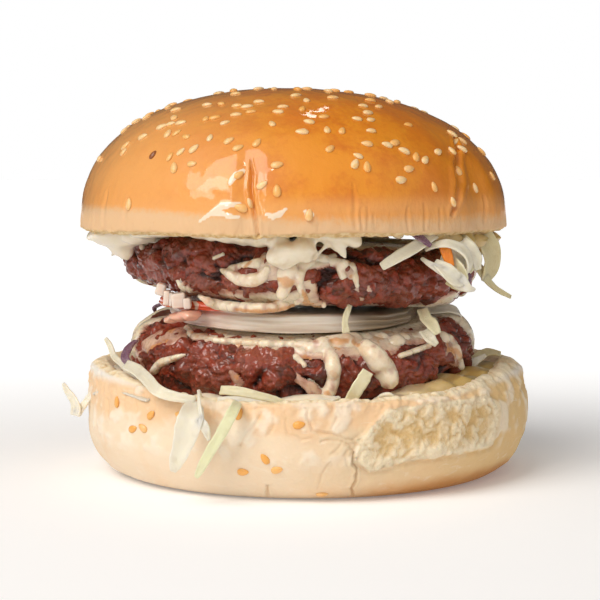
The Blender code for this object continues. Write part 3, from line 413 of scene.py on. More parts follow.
# Shreds that show in the photograph: column, row and depth of each point, widths in millimetres,
# where the broad side faces, how far it is cupped, and its tint
CREAM_TINT = (0.86, 0.79, 0.62)
WHITE_TINT = (0.91, 0.84, 0.69)
GREEN_TINT = (0.82, 0.82, 0.52)
OLIVE_TINT = (0.68, 0.58, 0.32)
YELLOW_TINT = (0.84, 0.76, 0.50)
GREY_TINT = (0.72, 0.65, 0.54)
PURPLE_TINT = (0.14, 0.03, 0.10)
Shred = namedtuple("Shred", "points widths face cup tint")
TOP_SHREDS_SEEN = (
    Shred(((438, 233, -39), (428, 238, -42), (415, 247, -43.5), (399, 256, -45.5), (381, 267, -46)),
        (2.2, 2.8, 3.0, 2.9, 2.0), (0.3, -1, 0.5), 0.25, CREAM_TINT),
    Shred(((425, 250, -39), (433, 246, -41), (446, 243, -42), (458, 247, -41), (467, 255, -40),
        (469, 266, -39), (464, 276, -39)), (0.8, 1.6, 2.4, 3.0, 3.4, 3.2, 1.6), (0.2, -1, 0.9), 0.3,
        CREAM_TINT),
    Shred(((443, 262, -38), (449, 255, -38.5), (457, 252, -38), (464, 257, -38), (460, 268, -38)),
        (2.0, 3.2, 4.0, 4.2, 2.0), (-0.2, -1, 0.3), 0.35, WHITE_TINT),
    Shred(((421, 258, -40), (430, 264, -41.5), (441, 270, -42), (451, 275, -42), (460, 282, -42),
        (468, 288, -42), (475, 290, -41)), (0.8, 1.4, 2.2, 3.4, 4.0, 2.2, 0.8), (0, -1, 0.2), 0.3,
        WHITE_TINT),
    Shred(((470, 232, -24), (483, 238, -24), (490, 248, -24), (492, 260, -23), (489, 272, -23),
        (484, 282, -23)), (4.0, 5.4, 5.6, 5.0, 4.4, 2.4), (0.5, -1, 0.1), 0.35, OLIVE_TINT),
    Shred(((478, 266, -23), (486, 278, -23), (494, 287, -22), (503, 293, -22), (511, 297, -21)),
        (2.4, 2.2, 1.4, 1.3, 1.1), (0.3, -1, 0.2), 0.1, OLIVE_TINT),
    Shred(((412, 230, -42), (417, 235, -43.5), (424, 240, -44), (431, 246, -43.5)), (1.6, 2.0, 1.8, 0.8),
        (0.4, -1, 0.3), 0.2, PURPLE_TINT),
    Shred(((448, 279, -39), (456, 284, -39.5), (464, 289, -39)), (2.6, 2.8, 1.6), (0.2, -1, 0.1), 0.2,
        OLIVE_TINT),
    Shred(((455, 236, -33), (465, 243, -35), (473, 252, -35), (472, 264, -34), (466, 275, -34)),
        (3.0, 3.6, 3.6, 3.2, 1.6), (0.5, -1, 0.2), 0.3, YELLOW_TINT),
    Shred(((434, 262, -41), (446, 270, -42.5), (456, 279, -42.5), (467, 283, -41.5)), (2.0, 3.6, 3.8, 1.6),
        (0.1, -1, 0.4), 0.5, CREAM_TINT),
    Shred(((452, 260, -39.5), (458, 269, -40.5), (462, 279, -40), (459, 289, -39.5)), (2.4, 3.4, 3.0, 1.4),
        (-0.4, -1, 0.2), 0.5, YELLOW_TINT),
    Shred(((462, 240, -36), (470, 248, -37), (476, 258, -36.5), (478, 270, -36)), (2.4, 3.2, 3.2, 1.6),
        (0.4, -1, 0.2), 0.5, CREAM_TINT),
    Shred(((462, 286, -38), (467, 281, -38), (470, 274, -37)), (1.4, 1.8, 1.2), (0.4, -1, 0), 0.1,
        PURPLE_TINT),
)
CARROT_SEEN = Shred(((444, 246, -40.5), (447, 254, -41), (451, 267, -41.2)), (2.6, 2.7, 1.8),
    (-0.1, -1, 0.15), 0.05, (0.80, 0.24, 0.005))
BETWEEN_SHREDS_SEEN = (
    Shred(((350, 305, -39), (347, 313, -40.5), (345, 322, -41), (346, 333, -41)), (1.2, 1.5, 1.5, 2.0),
        (0.1, -1, 0), 0.2, YELLOW_TINT),
    Shred(((422, 309, -31), (426, 318, -34), (433, 326, -36), (438, 334, -37)), (2.6, 3.0, 3.0, 1.6),
        (0.2, -1, 0.3), 0.4, YELLOW_TINT),
    Shred(((424, 330, -35), (430, 338, -37.5), (437, 345, -38)), (2.8, 2.8, 1.4), (0.2, -1, 0.4), 0.4,
        CREAM_TINT),
)
BED_SHREDS_SEEN = (
    Shred(((63, 383, -12), (67, 391, -13), (73, 399, -14.5), (76, 408, -15.5), (75, 416, -15.5)),
        (0.9, 1.8, 2.2, 3.0, 3.0), (-0.4, -1, 0), 0.3, WHITE_TINT),
    Shred(((77, 414, -15.5), (82, 407, -15), (88, 399, -14.5), (96, 391, -13), (106, 386, -10)),
        (2.4, 2.0, 1.8, 2.4, 2.0), (-0.3, -1, 0.2), 0.3, WHITE_TINT),
    Shred(((105, 338, -16), (110, 346, -17), (114, 356, -19), (122, 364, -22), (131, 375, -26),
        (139, 385, -30)), (1.0, 1.5, 1.7, 1.8, 1.8, 1.2), (-0.4, -1, 0.3), 0.25, CREAM_TINT),
    Shred(((125, 364, -30), (137, 370, -36), (147, 379, -42), (157, 390, -47), (172, 396, -49),
        (196, 400, -50.5)), (2.6, 3.0, 3.0, 3.0, 2.6, 1.8), (-0.3, -1, 0.4), 0.25, CREAM_TINT),
    Shred(((141, 372, -30), (150, 383, -36), (161, 395, -43)), (1.8, 2.2, 1.8), (-0.3, -1, 0.6), 0.2,
        WHITE_TINT),
    Shred(((200, 396, -47), (199, 391, -52), (199, 401, -56), (201, 414, -58.5), (206, 430, -58.6),
        (209, 441, -58.4)), (0.7, 0.8, 0.8, 0.8, 0.8, 0.6), (0, -1, 0.1), 0.1, WHITE_TINT),
    Shred(((220, 390, -45), (236, 391, -47), (255, 395, -48.5), (272, 399, -49), (286, 403, -49)),
        (2.4, 2.5, 2.2, 2.0, 1.0), (0, -1, 0.6), 0.3, YELLOW_TINT),
    Shred(((217, 400, -50), (232, 400, -51), (250, 402, -51.5), (268, 405, -52)), (1.6, 2.2, 2.2, 1.2),
        (0, -0.8, 1), 0.2, WHITE_TINT),
    Shred(((192, 402, -50), (192, 409, -55.5), (191, 418, -58.6), (187, 432, -59), (182, 448, -58.6),
        (176, 462, -57.6), (173, 472, -56.6)), (3.0, 5.0, 6.4, 6.2, 4.6, 3.6, 1.4), (-0.25, -1, 0), 0.3,
        WHITE_TINT),
    Shred(((198, 418, -58.8), (205, 428, -59.6), (209, 440, -60)), (2.0, 2.2, 0.7), (0.1, -1, 0), 0.3,
        WHITE_TINT),
    Shred(((238, 402, -51), (236, 406, -56.5), (231, 415, -59.4), (222, 432, -60), (211, 450, -59.6),
        (202, 466, -58.6), (196, 478, -57.4)), (2.2, 2.5, 2.8, 2.7, 2.5, 2.2, 1.0), (-0.15, -1, 0.1), 0.15,
        GREEN_TINT),
    Shred(((368, 371, -47.5), (363, 380, -48), (356, 391, -48.5), (348, 404, -48)), (2.8, 3.3, 3.2, 2.6),
        (0.25, -1, 0.1), 0.15, YELLOW_TINT),
    Shred(((376, 400, -46), (382, 395, -48), (390, 394, -49), (396, 400, -48.5), (393, 407, -48),
        (385, 405, -47)), (0.9, 1.0, 1.0, 1.0, 1.0, 0.7), (0, -0.5, 1), 0.1, CREAM_TINT),
    Shred(((462, 364, -12), (474, 358, -10), (488, 352, -8), (501, 354, -8)), (2.0, 2.2, 2.2, 1.4),
        (0, -1, 0.5), 0.3, OLIVE_TINT),
    Shred(((466, 368, -14), (476, 361, -13), (486, 355, -12)), (2.4, 2.0, 1.0), (0, -1, 0.5), 0.2,
        WHITE_TINT),
    Shred(((96, 393, -18), (110, 389, -24), (128, 391, -33), (150, 400, -42)), (2.6, 4.0, 4.0, 2.0),
        (0, -0.5, 1), 0.15, GREY_TINT),
    Shred(((136, 340, -22), (128, 349, -25), (125, 358, -27), (131, 366, -29)), (1.6, 2.4, 2.2, 1.4),
        (-0.5, -1, 0.1), 0.2, PURPLE_TINT),
    Shred(((124, 378, -24), (132, 381, -28), (142, 386, -33)), (1.2, 1.8, 1.0), (-0.2, -1, 0.4), 0.2,
        PURPLE_TINT),
    Shred(((296, 405, -51), (312, 404, -50.5), (328, 401, -49), (340, 397, -47)), (1.2, 1.8, 1.8, 1.0),
        (0, -0.8, 1), 0.2, WHITE_TINT),
    Shred(((470, 378, -17), (484, 373, -14), (500, 372, -11)), (2.6, 3.2, 2.0), (0, -0.7, 1), 0.2,
        OLIVE_TINT),
)
# Shreds by rule: a seed, how many, the bearings between which they lie, how far out and how high
# they leave the heap, and how far they hang down
TOP_SHREDS_RULE = (8, 22, (66, 300), 46 * MM, 60.2 * MM, 5 * MM)
BETWEEN_SHREDS_RULE = (21, 14, (82, 258), 40 * MM, 41.2 * MM, 2 * MM)
BED_SHREDS_RULE = (5, 30, (68, 292), 48 * MM, 24.6 * MM, 4 * MM)
RULE_TINTS = (CREAM_TINT, WHITE_TINT, YELLOW_TINT, OLIVE_TINT, CREAM_TINT, GREEN_TINT, PURPLE_TINT)
CARROT_THICKNESS = 0.9 * MM

# Noise: the multiplier that scatters the tones of neighbouring cells, and a distance past any cell
TONE_SCATTER = 7.13
FAR_OFF = 9.0


# Small tools

def on_bearing(radius, bearing, height=0.0):
    return np.stack((radius * np.sin(bearing), -radius * np.cos(bearing), height + 0.0 * bearing), axis=-1)


def bump(value, half_width):
    """1 at zero, falling smoothly to 0 half_width away."""
    return (1 - np.minimum(1, abs(value) / half_width) ** 2) ** 2


def turn_between(bearing, other):
    """The angle between a bearing and one in degrees, in degrees, from 0 to 180."""
    return abs((np.degrees(bearing) - other + 180) % 360 - 180)


def ramp(value, start, end):
    """0 at start, 1 at end, and a smooth step between them."""
    share = np.clip((value - start) / (end - start), 0, 1)
    return share * share * (3 - 2 * share)


def lumps(points, size, seed):
    """Smooth noise from about -1 to 1, with lumps of the given size."""
    shift = np.array((seed, seed * 0.37, -seed))
    return np.array([noise.noise(place) for place in (points / size + shift).tolist()])


def grid_random(cells, seed):
    """A random number from 0 to 1 for each cell of a grid, given by whole numbers."""
    x, y, z = cells.astype(np.int64).astype(np.uint32).T
    mixed = x * np.uint32(0x9E3779B1) + y * np.uint32(0x85EBCA77) + z * np.uint32(0xC2B2AE3D)
    mixed += np.uint32(seed * 7919)
    for shift, factor in ((15, 0x2C1B3C6D), (12, 0x297A2D39)):
        mixed ^= mixed >> np.uint32(shift)
        mixed *= np.uint32(factor)
    mixed ^= mixed >> np.uint32(15)
    return mixed / 2.0 ** 32


def grid_places(cells, seed):
    return np.stack([grid_random(cells, seed + 101 * i) for i in range(3)], axis=1)


def soft_noise(points, size, seed=0):
    """Smooth noise from about -1 to 1, fast for many points."""
    scaled = points / size
    base = np.floor(scaled)
    part = scaled - base
    fade = part ** 3 * (part * (part * 6 - 15) + 10)
    total = np.zeros(len(points))
    for corner in itertools.product((0, 1), repeat=3):
        corner = np.array(corner)
        weight = np.prod(np.where(corner, fade, 1 - fade), axis=1)
        slope = 2 * grid_places(base + corner, seed) - 1
        total += weight * ((part - corner) * slope).sum(axis=1)
    return 1.7 * total


def cell_noise(points, size, seed=0):
    """For each point the distance to its nearest cell middle, in cell sizes, and a random value
    from 0 to 1 of that cell."""
    scaled = points / size
    base = np.floor(scaled)
    nearest = np.full(len(points), FAR_OFF)
    tone = np.zeros(len(points))
    for step in itertools.product((-1, 0, 1), repeat=3):
        cell = base + step
        middle = grid_places(cell, seed)
        away = np.linalg.norm(cell + middle - scaled, axis=1)
        tone = np.where(away < nearest, (middle.sum(axis=1) * TONE_SCATTER) % 1, tone)
        nearest = np.minimum(nearest, away)
    return nearest, tone


def photo_ray(column, row):
    """Where the camera stands, and the way it looks through a pixel."""
    stage = bpy.context.scene.burger_stage
    ray = VIEW_AHEAD * PHOTO_FOCAL + Vector((column - PHOTO_MIDDLE, 0, 0)) - VIEW_UP * (row - PHOTO_MIDDLE)
    return Vector((0, -stage.camera_distance, stage.camera_height)), ray


def photo_place(column, row, behind):
    """The point that a pixel shows at a depth behind the origin, given in millimetres."""
    eye, ray = photo_ray(column, row)
    return eye + ray * ((behind * MM - eye.y) / ray.y)


def photo_hit(tree, column, row):
    """The point and the normal of a surface where a pixel shows it, or None twice."""
    eye, ray = photo_ray(column, row)
    point, normal, _, _ = tree.ray_cast(eye, ray.normalized())
    return point, normal


def smooth_path(points, count):
    """Catmull-Rom points through the given ones. Each may have any number of values."""
    knots = [np.array(point, dtype=float) for point in points]
    spans = len(knots) - 1
    knots = [2 * knots[0] - knots[1], *knots, 2 * knots[-1] - knots[-2]]
    path = []
    for i in range(count):
        place = i / (count - 1) * spans
        at = min(int(place), spans - 1)
        t = place - at
        a, b, c, d = knots[at:at + 4]
        bend = (2 * a - 5 * b + 4 * c - d) * t ** 2 + (3 * b - a - 3 * c + d) * t ** 3
        path.append(0.5 * (2 * b + (c - a) * t + bend))
    return path


def inside_outline(columns, rows, outline):
    """How far each pixel lies inside a closed outline, in pixels, and less than 0 outside it."""
    nearest = np.full(len(columns), 1e9)
    inside = np.zeros(len(columns), dtype=bool)
    for (x0, y0), (x1, y1) in zip(outline, outline[1:] + outline[:1]):
        dx, dy = x1 - x0, y1 - y0
        share = np.clip(((columns - x0) * dx + (rows - y0) * dy) / (dx * dx + dy * dy), 0, 1)
        nearest = np.minimum(nearest, np.hypot(columns - x0 - share * dx, rows - y0 - share * dy))
        crosses = (y0 > rows) != (y1 > rows)
        reach = x0 + (rows - y0) * dx / (dy if dy else 1e-9)
        inside ^= crosses & (columns < reach)
    return np.where(inside, nearest, -nearest)


def trace_line(across, down, line):
    """How deep each place lies in a line whose points have half a width: 1 along its middle, 0 at
    its edge, and less outside it."""
    best = np.full(len(across), -1e6)
    for (x0, y0, w0), (x1, y1, w1) in zip(line, line[1:]):
        dx, dy = x1 - x0, y1 - y0
        share = np.clip(((across - x0) * dx + (down - y0) * dy) / (dx * dx + dy * dy), 0, 1)
        away = np.hypot(across - x0 - share * dx, down - y0 - share * dy) / (w0 + (w1 - w0) * share)
        best = np.maximum(best, 1 - away ** 2)
    return best


class Surface:
    """A mesh whose points are shaped and painted all at once. It knows where the photograph shows
    each of them."""

    def __init__(self, bm):
        bmesh.ops.recalc_face_normals(bm, faces=bm.faces)
        self.mesh = bpy.data.meshes.new("surface")
        bm.to_mesh(self.mesh)
        bm.free()
        count = len(self.mesh.vertices)
        self.points = self.read(self.mesh.vertices, "co", count)
        self.normals = self.read(self.mesh.vertex_normals, "vector", count)
        stage = bpy.context.scene.burger_stage
        away = self.points - np.array((0, -stage.camera_distance, stage.camera_height))
        depth = away @ np.array(VIEW_AHEAD)
        self.columns = PHOTO_MIDDLE + PHOTO_FOCAL * away[:, 0] / depth
        self.rows = PHOTO_MIDDLE - PHOTO_FOCAL * (away @ np.array(VIEW_UP)) / depth
        facing = -(self.normals * away).sum(axis=1) / np.linalg.norm(away, axis=1)
        self.seen = ramp(facing, -0.1, 0.1) * (self.points[:, 1] < 0)

    def read(self, elements, name, count):
        values = np.empty(3 * count, dtype=np.float32)
        elements.foreach_get(name, values)
        return values.reshape(-1, 3).astype(float)

    def noise(self, size, seed=0):
        return soft_noise(self.points, size, seed)

    def cells(self, size, warp, seed=0):
        """cell_noise with the cells bent out of shape by warp."""
        bend = [soft_noise(self.points, 1.5 * size, seed + 7 * i) for i in range(3)]
        return cell_noise(self.points + warp * np.stack(bend, axis=1), size, seed)

    def trace(self, line, wobble=0.0):
        """trace_line for pixels of the photograph, on the side that it shows."""
        return np.where(self.seen > 0.5, trace_line(self.columns + wobble, self.rows - wobble, line), -1e6)

    def push(self, amounts):
        """Moves every point along its normal."""
        self.points = self.points + self.normals * amounts[:, None]
        self.store()

    def store(self):
        self.mesh.vertices.foreach_set("co", self.points.ravel())
        self.mesh.update()

    def paint(self, name, values):
        """Stores a value at every point, for a material to read."""
        layer = self.mesh.attributes.new(name, "FLOAT", "POINT")
        layer.data.foreach_set("value", np.array(values, dtype=float))

    def tree(self):
        """The surface as it is now, for rays to hit."""
        bm = bmesh.new()
        bm.from_mesh(self.mesh)
        tree = BVHTree.FromBMesh(bm)
        bm.free()
        return tree


def round_body(segments, rings, place, spread=((0, 1), (0, 1)), crowding=0.35):
    """A closed round body, from place(bearings, travels). spread says which share of the rings
    reaches which travel, and crowding how much closer the points stand at the front."""
    bm = bmesh.new()
    bmesh.ops.create_grid(bm, x_segments=segments, y_segments=rings, size=1.0)
    mesh = bpy.data.meshes.new("round_body")
    bm.to_mesh(mesh)
    flat = np.empty(3 * len(mesh.vertices), dtype=np.float32)
    mesh.vertices.foreach_get("co", flat)
    around, up, _ = flat.reshape(-1, 3).astype(float).T
    travel = np.interp((up + 1) / 2, *spread)
    bearing = math.pi * (around + crowding * (around ** 3 - around))
    mesh.vertices.foreach_set("co", place(bearing, travel).ravel())
    bm.clear()
    bm.from_mesh(mesh)
    bpy.data.meshes.remove(mesh)
    seam = [vert for vert in bm.verts if vert.is_boundary]
    bmesh.ops.remove_doubles(bm, verts=seam, dist=1e-6)
    return bm


class Copies:
    """Many copies of one small shape in one mesh, each bent its own way."""

    def __init__(self, template):
        self.mesh = bpy.data.meshes.new("template")
        template.to_mesh(self.mesh)
        template.free()
        self.mesh.attributes.new("tone", "FLOAT", "POINT")
        count = len(self.mesh.vertices)
        self.places = np.empty(3 * count, dtype=np.float32)
        self.mesh.vertices.foreach_get("co", self.places)
        self.places = self.places.reshape(-1, 3).astype(float)
        self.bm = bmesh.new()

    def add(self, points, tone=0.0):
        self.mesh.vertices.foreach_set("co", points.ravel())
        self.mesh.attributes["tone"].data.foreach_set("value", np.full(len(points), tone))
        self.bm.from_mesh(self.mesh)

    def add_ball(self, middle, axes, half_sizes, wobble=0.0):
        """A copy of a ball of radius 1, stretched along three directions."""
        swell = 1 + wobble * soft_noise(self.places + np.array(middle) * 300, 0.7)
        stretched = self.places * swell[:, None] * np.array(half_sizes)
        self.add(stretched @ np.array(axes) + np.array(middle))


def balls():
    bm = bmesh.new()
    bmesh.ops.create_icosphere(bm, subdivisions=2, radius=1.0)
    return Copies(bm)


def add_lump(copies, centre, half_sizes, wobble=0.25):
    copies.add_ball(centre, np.eye(3), half_sizes, wobble)


def add_seen_lumps(copies, placed):
    """Lumps whose places are read off the photograph."""
    for column, row, behind, half_sizes in placed:
        add_lump(copies, photo_place(column, row, behind), np.array(half_sizes) * MM)


def add_drip(copies, tree, line, depth):
    """A run of melted cheese or sauce that clings to a surface. line holds pixels of the photograph
    with half a width, also in pixels, and depth is how far it stands out, in millimetres."""
    steps = [math.hypot(b[0] - a[0], b[1] - a[1]) for a, b in zip(line, line[1:])]
    count = max(4, int(sum(steps) / DRIP_STEP))
    eye, _ = photo_ray(PHOTO_MIDDLE, PHOTO_MIDDLE)
    last = None
    for column, row, half_width in smooth_path(line, count):
        higher = row
        point, normal = photo_hit(tree, column, higher)
        while point is None and higher > row - DRIP_SEARCH:
            higher -= 1
            point, normal = photo_hit(tree, column, higher)
        if point is None:
            continue
        if higher < row:
            nearer, _ = photo_hit(tree, column, higher - DRIP_INWARD)
            front = min(point.y, nearer.y) if nearer else point.y
            point = photo_place(column, row, front / MM)
        elif last is not None and (point - last[0]).length > DRIP_JUMP:
            normal = last[1]
            point = photo_place(column, row, last[0].y / MM)
        last = (point, normal)
        normal = (normal + 0.5 * (eye - point).normalized()).normalized()
        across = Vector((0, 0, 1)).cross(normal).normalized()
        axes = np.array((across, normal.cross(across), normal))
        breadth = half_width / PHOTO_FOCAL * (point - eye).length
        copies.add_ball(point, axes, (breadth, breadth, min(depth * MM, DRIP_STEEPNESS * breadth)), 0.15)


def add_string(copies, points):
    """A strand: each point is a place in metres and a radius in metres."""
    for x, y, z, radius in smooth_path(points, 12 * (len(points) - 1)):
        add_lump(copies, (x, y, z), (radius, radius, radius), 0.0)


def add_piece(name, made, finish, slot, nodes=()):
    """A new piece from a bmesh or a surface, shaded smooth, that rides on the burger's one body."""
    if isinstance(made, Surface):
        mesh = made.mesh
        mesh.name = name
    else:
        mesh = bpy.data.meshes.new(name)
        made.to_mesh(mesh)
        made.free()
    if not mesh.polygons:
        raise RuntimeError(f"{name} came out without a surface")
    mesh.materials.append(finish.material)
    mesh.shade_smooth()
    piece = bpy.data.objects.new(name, mesh)
    bpy.context.scene.collection.objects.link(piece)
    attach(piece, BODY)
    if nodes:
        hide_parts(*nodes)
    return piece


def melted_together(bm, voxel, rounds):
    """Fuses overlapping closed shapes into one soft body."""
    mesh = bpy.data.meshes.new("soft_helper")
    bm.to_mesh(mesh)
    bm.free()
    helper = bpy.data.objects.new("soft_helper", mesh)
    bpy.context.scene.collection.objects.link(helper)
    remesh = helper.modifiers.new("fuse", "REMESH")
    remesh.mode = "VOXEL"
    remesh.voxel_size = voxel
    soften = helper.modifiers.new("soften", "SMOOTH")
    soften.factor = 0.5
    soften.iterations = rounds
    bpy.context.view_layer.update()
    made = bmesh.new()
    made.from_object(helper, bpy.context.evaluated_depsgraph_get())
    bpy.data.objects.remove(helper)
    bpy.data.meshes.remove(mesh)
    return made


# Materials

class Signal:
    """A socket among a material's nodes. An expression on signals adds its Math nodes."""

    def __init__(self, finish, socket):
        self.finish = finish
        self.socket = socket

    def math(self, operation, *values):
        return self.finish.node("ShaderNodeMath", {"operation": operation}, dict(enumerate(values)))

    def __add__(self, other):
        return self.math("ADD", self, other)

    def __sub__(self, other):
        return self.math("SUBTRACT", self, other)

    def __rsub__(self, other):
        return self.math("SUBTRACT", other, self)

    def __mul__(self, other):
        return self.math("MULTIPLY", self, other)

    __radd__ = __add__
    __rmul__ = __mul__

    def smooth(self, start, end):
        """0 at start, 1 at end, and a smooth step between them."""
        settings = {"interpolation_type": "SMOOTHSTEP"}
        values = {"Value": self, "From Min": start, "From Max": end}
        return self.finish.node("ShaderNodeMapRange", settings, values)


class Finish:
    """A material in the making. Sizes of its patterns are real sizes."""

    def __init__(self, name, constants):
        self.material = bpy.data.materials.new(name)
        self.material.use_nodes = True
        self.tree = self.material.node_tree
        self.shader = self.tree.nodes["Principled BSDF"]
        for socket, value in constants.items():
            self.shader.inputs[socket].default_value = value
        self.spot = self.node("ShaderNodeTexCoord", output="Object")

    def node(self, kind, settings=None, values=None, output=0):
        """Adds a node, with its settings first and then the values or signals of its sockets."""
        made = self.tree.nodes.new(kind)
        for setting, value in (settings or {}).items():
            setattr(made, setting, value)
        for key, value in (values or {}).items():
            socket = made.inputs[key]
            if isinstance(value, Signal):
                self.tree.links.new(value.socket, socket)
            else:
                socket.default_value = value
        return Signal(self, made.outputs[output])

    def noise(self, size, detail=3.0, roughness=0.5, distortion=0.0, squeeze=(1, 1, 1)):
        place = self.node("ShaderNodeMapping", {}, {"Vector": self.spot, "Scale": squeeze})
        values = {"Vector": place, "Scale": 1 / size, "Detail": detail, "Roughness": roughness,
            "Distortion": distortion}
        return self.node("ShaderNodeTexNoise", {"noise_dimensions": "3D"}, values)

    def along(self, axis):
        """A coordinate of the surface in metres: X, Y or Z."""
        return self.node("ShaderNodeSeparateXYZ", {}, {"Vector": self.spot}, axis)

    def painted(self, name):
        """A value stored at the mesh's points."""
        return self.node("ShaderNodeAttribute", {"attribute_name": name}, {}, "Fac")

    def tint(self, name):
        """A colour stored at the mesh's points."""
        return self.node("ShaderNodeAttribute", {"attribute_name": name}, {}, "Color")

    def mix(self, share, first, second):
        """Goes from the first colour to the second as share goes from 0 to 1."""
        first, second = (value if isinstance(value, Signal) else (*value, 1.0) for value in (first, second))
        share_socket, first_socket, second_socket, result = 0, 6, 7, 2
        values = {share_socket: share, first_socket: first, second_socket: second}
        return self.node("ShaderNodeMix", {"data_type": "RGBA"}, values, result)

    def relief(self, height, depth, under=None):
        """A bump of a real depth. under is a relief that this one lies on."""
        values = {"Height": height, "Distance": depth, "Strength": 1.0}
        if under:
            values["Normal"] = under
        return self.node("ShaderNodeBump", {}, values)

    def wire(self, socket, signal):
        self.tree.links.new(signal.socket, self.shader.inputs[socket])


def crust_finish(bun):
    """Glazed golden crust that pales towards its lower edge, with bare crumb underneath. Painted light makes
    it pale orange at the left, and painted shade makes it darker and browner at the right.
    """
    finish = Finish("golden_crust", {
        "Coat Roughness": 0.06, "Subsurface Weight": 0.08, "Subsurface Radius": (1.0, 0.45, 0.2),
        "Subsurface Scale": 2.0 * MM, "Specular IOR Level": 0.2,
    })
    mottle = finish.noise(11 * MM, 4, 0.55)
    fine = finish.noise(1.3 * MM, 4, 0.6)
    low = finish.painted("low")
    crumb = finish.painted("crumb")
    smear = finish.painted("smear").smooth(0.05, 0.45)
    # Painted light and shade: the crust turns pale orange at the lit left and darker and browner at the
    # shaded right
    left = finish.along("X").smooth(10 * MM, -48 * MM)
    right = finish.along("X").smooth(10 * MM, 50 * MM)
    golden = finish.mix((mottle * 0.7 + fine * 0.3).smooth(0.40, 0.62), bun.golden, bun.deep_golden)
    golden = finish.mix(right * 0.75, golden, bun.shaded_ochre)
    peach_and_lit_left = finish.mix(left * (1 - low * 0.4), golden, bun.peach_and_lit_left)
    middle = finish.mix(low.smooth(0.18, 0.62) * 0.75, peach_and_lit_left, bun.peach_and_lit_left)
    # The pale lower edge is the crust's own colour; painted light makes it paler still at the left
    edge = finish.mix((low + left * 0.3 * low + fine * 0.22 + mottle * 0.15 - 0.18).smooth(0.72, 1.0),
        middle, bun.pale)
    speckled = finish.mix(fine.smooth(0.62, 0.75) * 0.10, edge, (0.45, 0.16, 0.02))
    creamed = finish.mix(smear * 0.85, speckled, bun.cream)
    crumbs = finish.mix(fine.smooth(0.35, 0.65), (0.62, 0.40, 0.17), (0.80, 0.62, 0.36))
    bared = finish.mix(crumb, creamed, crumbs)
    finish.wire("Base Color", bared)
    glaze = (1 - low.smooth(0.55, 0.95)) * (1 - crumb)
    finish.wire("Coat Weight", glaze * 0.9 + smear * 0.2)
    finish.wire("Roughness", 0.62 - glaze * 0.22 + crumb * 0.25)
    pebbles = finish.noise(2.2 * MM, 3, 0.55)
    skin = finish.relief(pebbles, 0.10 * MM)
    wrinkles = finish.noise(2.6 * MM, 3, 0.6, 0.6, (1, 1, 0.25))
    skin = finish.relief(wrinkles * low, 0.35 * MM, skin)
    finish.wire("Normal", finish.relief(fine, 0.09 * MM, skin))
    return finish


def bread_finish(bun):
    """Pale, soft heel: matte skin, browned foot, bare crumb where it is torn and on the cut face. Painted
    light makes the skin paler at the left and painted shade makes it tan at the right; painted shade also
    darkens its cracks and the pits of the bare crumb.
    """
    finish = Finish("pale_bun", {
        "Subsurface Weight": 0.15, "Subsurface Radius": (1.0, 0.6, 0.35), "Subsurface Scale": 2.0 * MM,
        "Specular IOR Level": 0.25,
    })
    mottle = finish.noise(9 * MM, 4, 0.55)
    streak = finish.noise(5 * MM, 4, 0.6, 0.8, (1, 1, 2.2))
    fine = finish.noise(0.8 * MM, 4, 0.65)
    crumb = finish.painted("crumb")
    pore = finish.painted("pore")
    crease = finish.painted("crease")
    blush = finish.painted("blush")
    toast = finish.painted("toast")
    chalk = finish.painted("chalk")
    # Painted light and shade: the skin goes from pale at the lit left to tan at the shaded right
    right = finish.along("X").smooth(-20 * MM, 58 * MM)
    skin = finish.mix(right, bun.heel_lit_side, bun.heel_shaded_side)
    skin = finish.mix((blush + mottle * 0.6 + streak * 0.3 - 0.45).smooth(0.15, 0.7) * 0.85, skin,
        bun.heel_peach)
    skin = finish.mix(streak.smooth(0.55, 0.72) * 0.35, skin, (0.88, 0.78, 0.64))
    skin = finish.mix((toast + mottle * 0.35 - 0.17).smooth(0.2, 0.9), skin, bun.heel_brown)
    skin = finish.mix(finish.painted("flake") * 0.6, skin, (0.88, 0.80, 0.67))
    # Painted shade darkens the cracks and folds
    skin = finish.mix(crease.smooth(0.25, 1.0) * 0.25, skin, (0.70, 0.42, 0.19))
    skin = finish.mix((chalk + mottle * 0.3 - 0.15).smooth(0.2, 0.8), skin, (0.80, 0.74, 0.66))
    # Bare crumb: tan in the middle of the torn patch, and darker in its pits, which is painted shade
    bare = finish.mix((pore + fine * 0.4 - 0.2).smooth(0.1, 0.9), (0.86, 0.73, 0.52), (0.70, 0.48, 0.22))
    finish.wire("Base Color", finish.mix(crumb, skin, bare))
    finish.wire("Roughness", 0.62 + crumb * 0.25 + mottle * 0.1)
    grain = finish.relief(fine, 0.14 * MM)
    holes = finish.noise(1.4 * MM, 3, 0.7)
    finish.wire("Normal", finish.relief(holes * crumb, 0.5 * MM, grain))
    return finish


def seed_finish(bun):
    finish = Finish("sesame", {
        "Roughness": 0.35, "Subsurface Weight": 0.25, "Subsurface Radius": (1.0, 0.6, 0.3),
        "Subsurface Scale": 1.0 * MM, "Coat Weight": 0.25, "Coat Roughness": 0.2,
    })
    tone = finish.painted("tone")
    cloud = finish.noise(1.4 * MM, 2)
    pale = finish.mix(cloud.smooth(0.3, 0.7), bun.seed, (0.86, 0.54, 0.22))
    toasted = finish.mix(tone.smooth(0.25, 0.9), pale, (0.84, 0.40, 0.08))
    finish.wire("Base Color", finish.mix(tone.smooth(1.4, 1.9), toasted, (0.26, 0.08, 0.02)))
    finish.wire("Normal", finish.relief(finish.noise(0.5 * MM, 2), 0.06 * MM))
    return finish


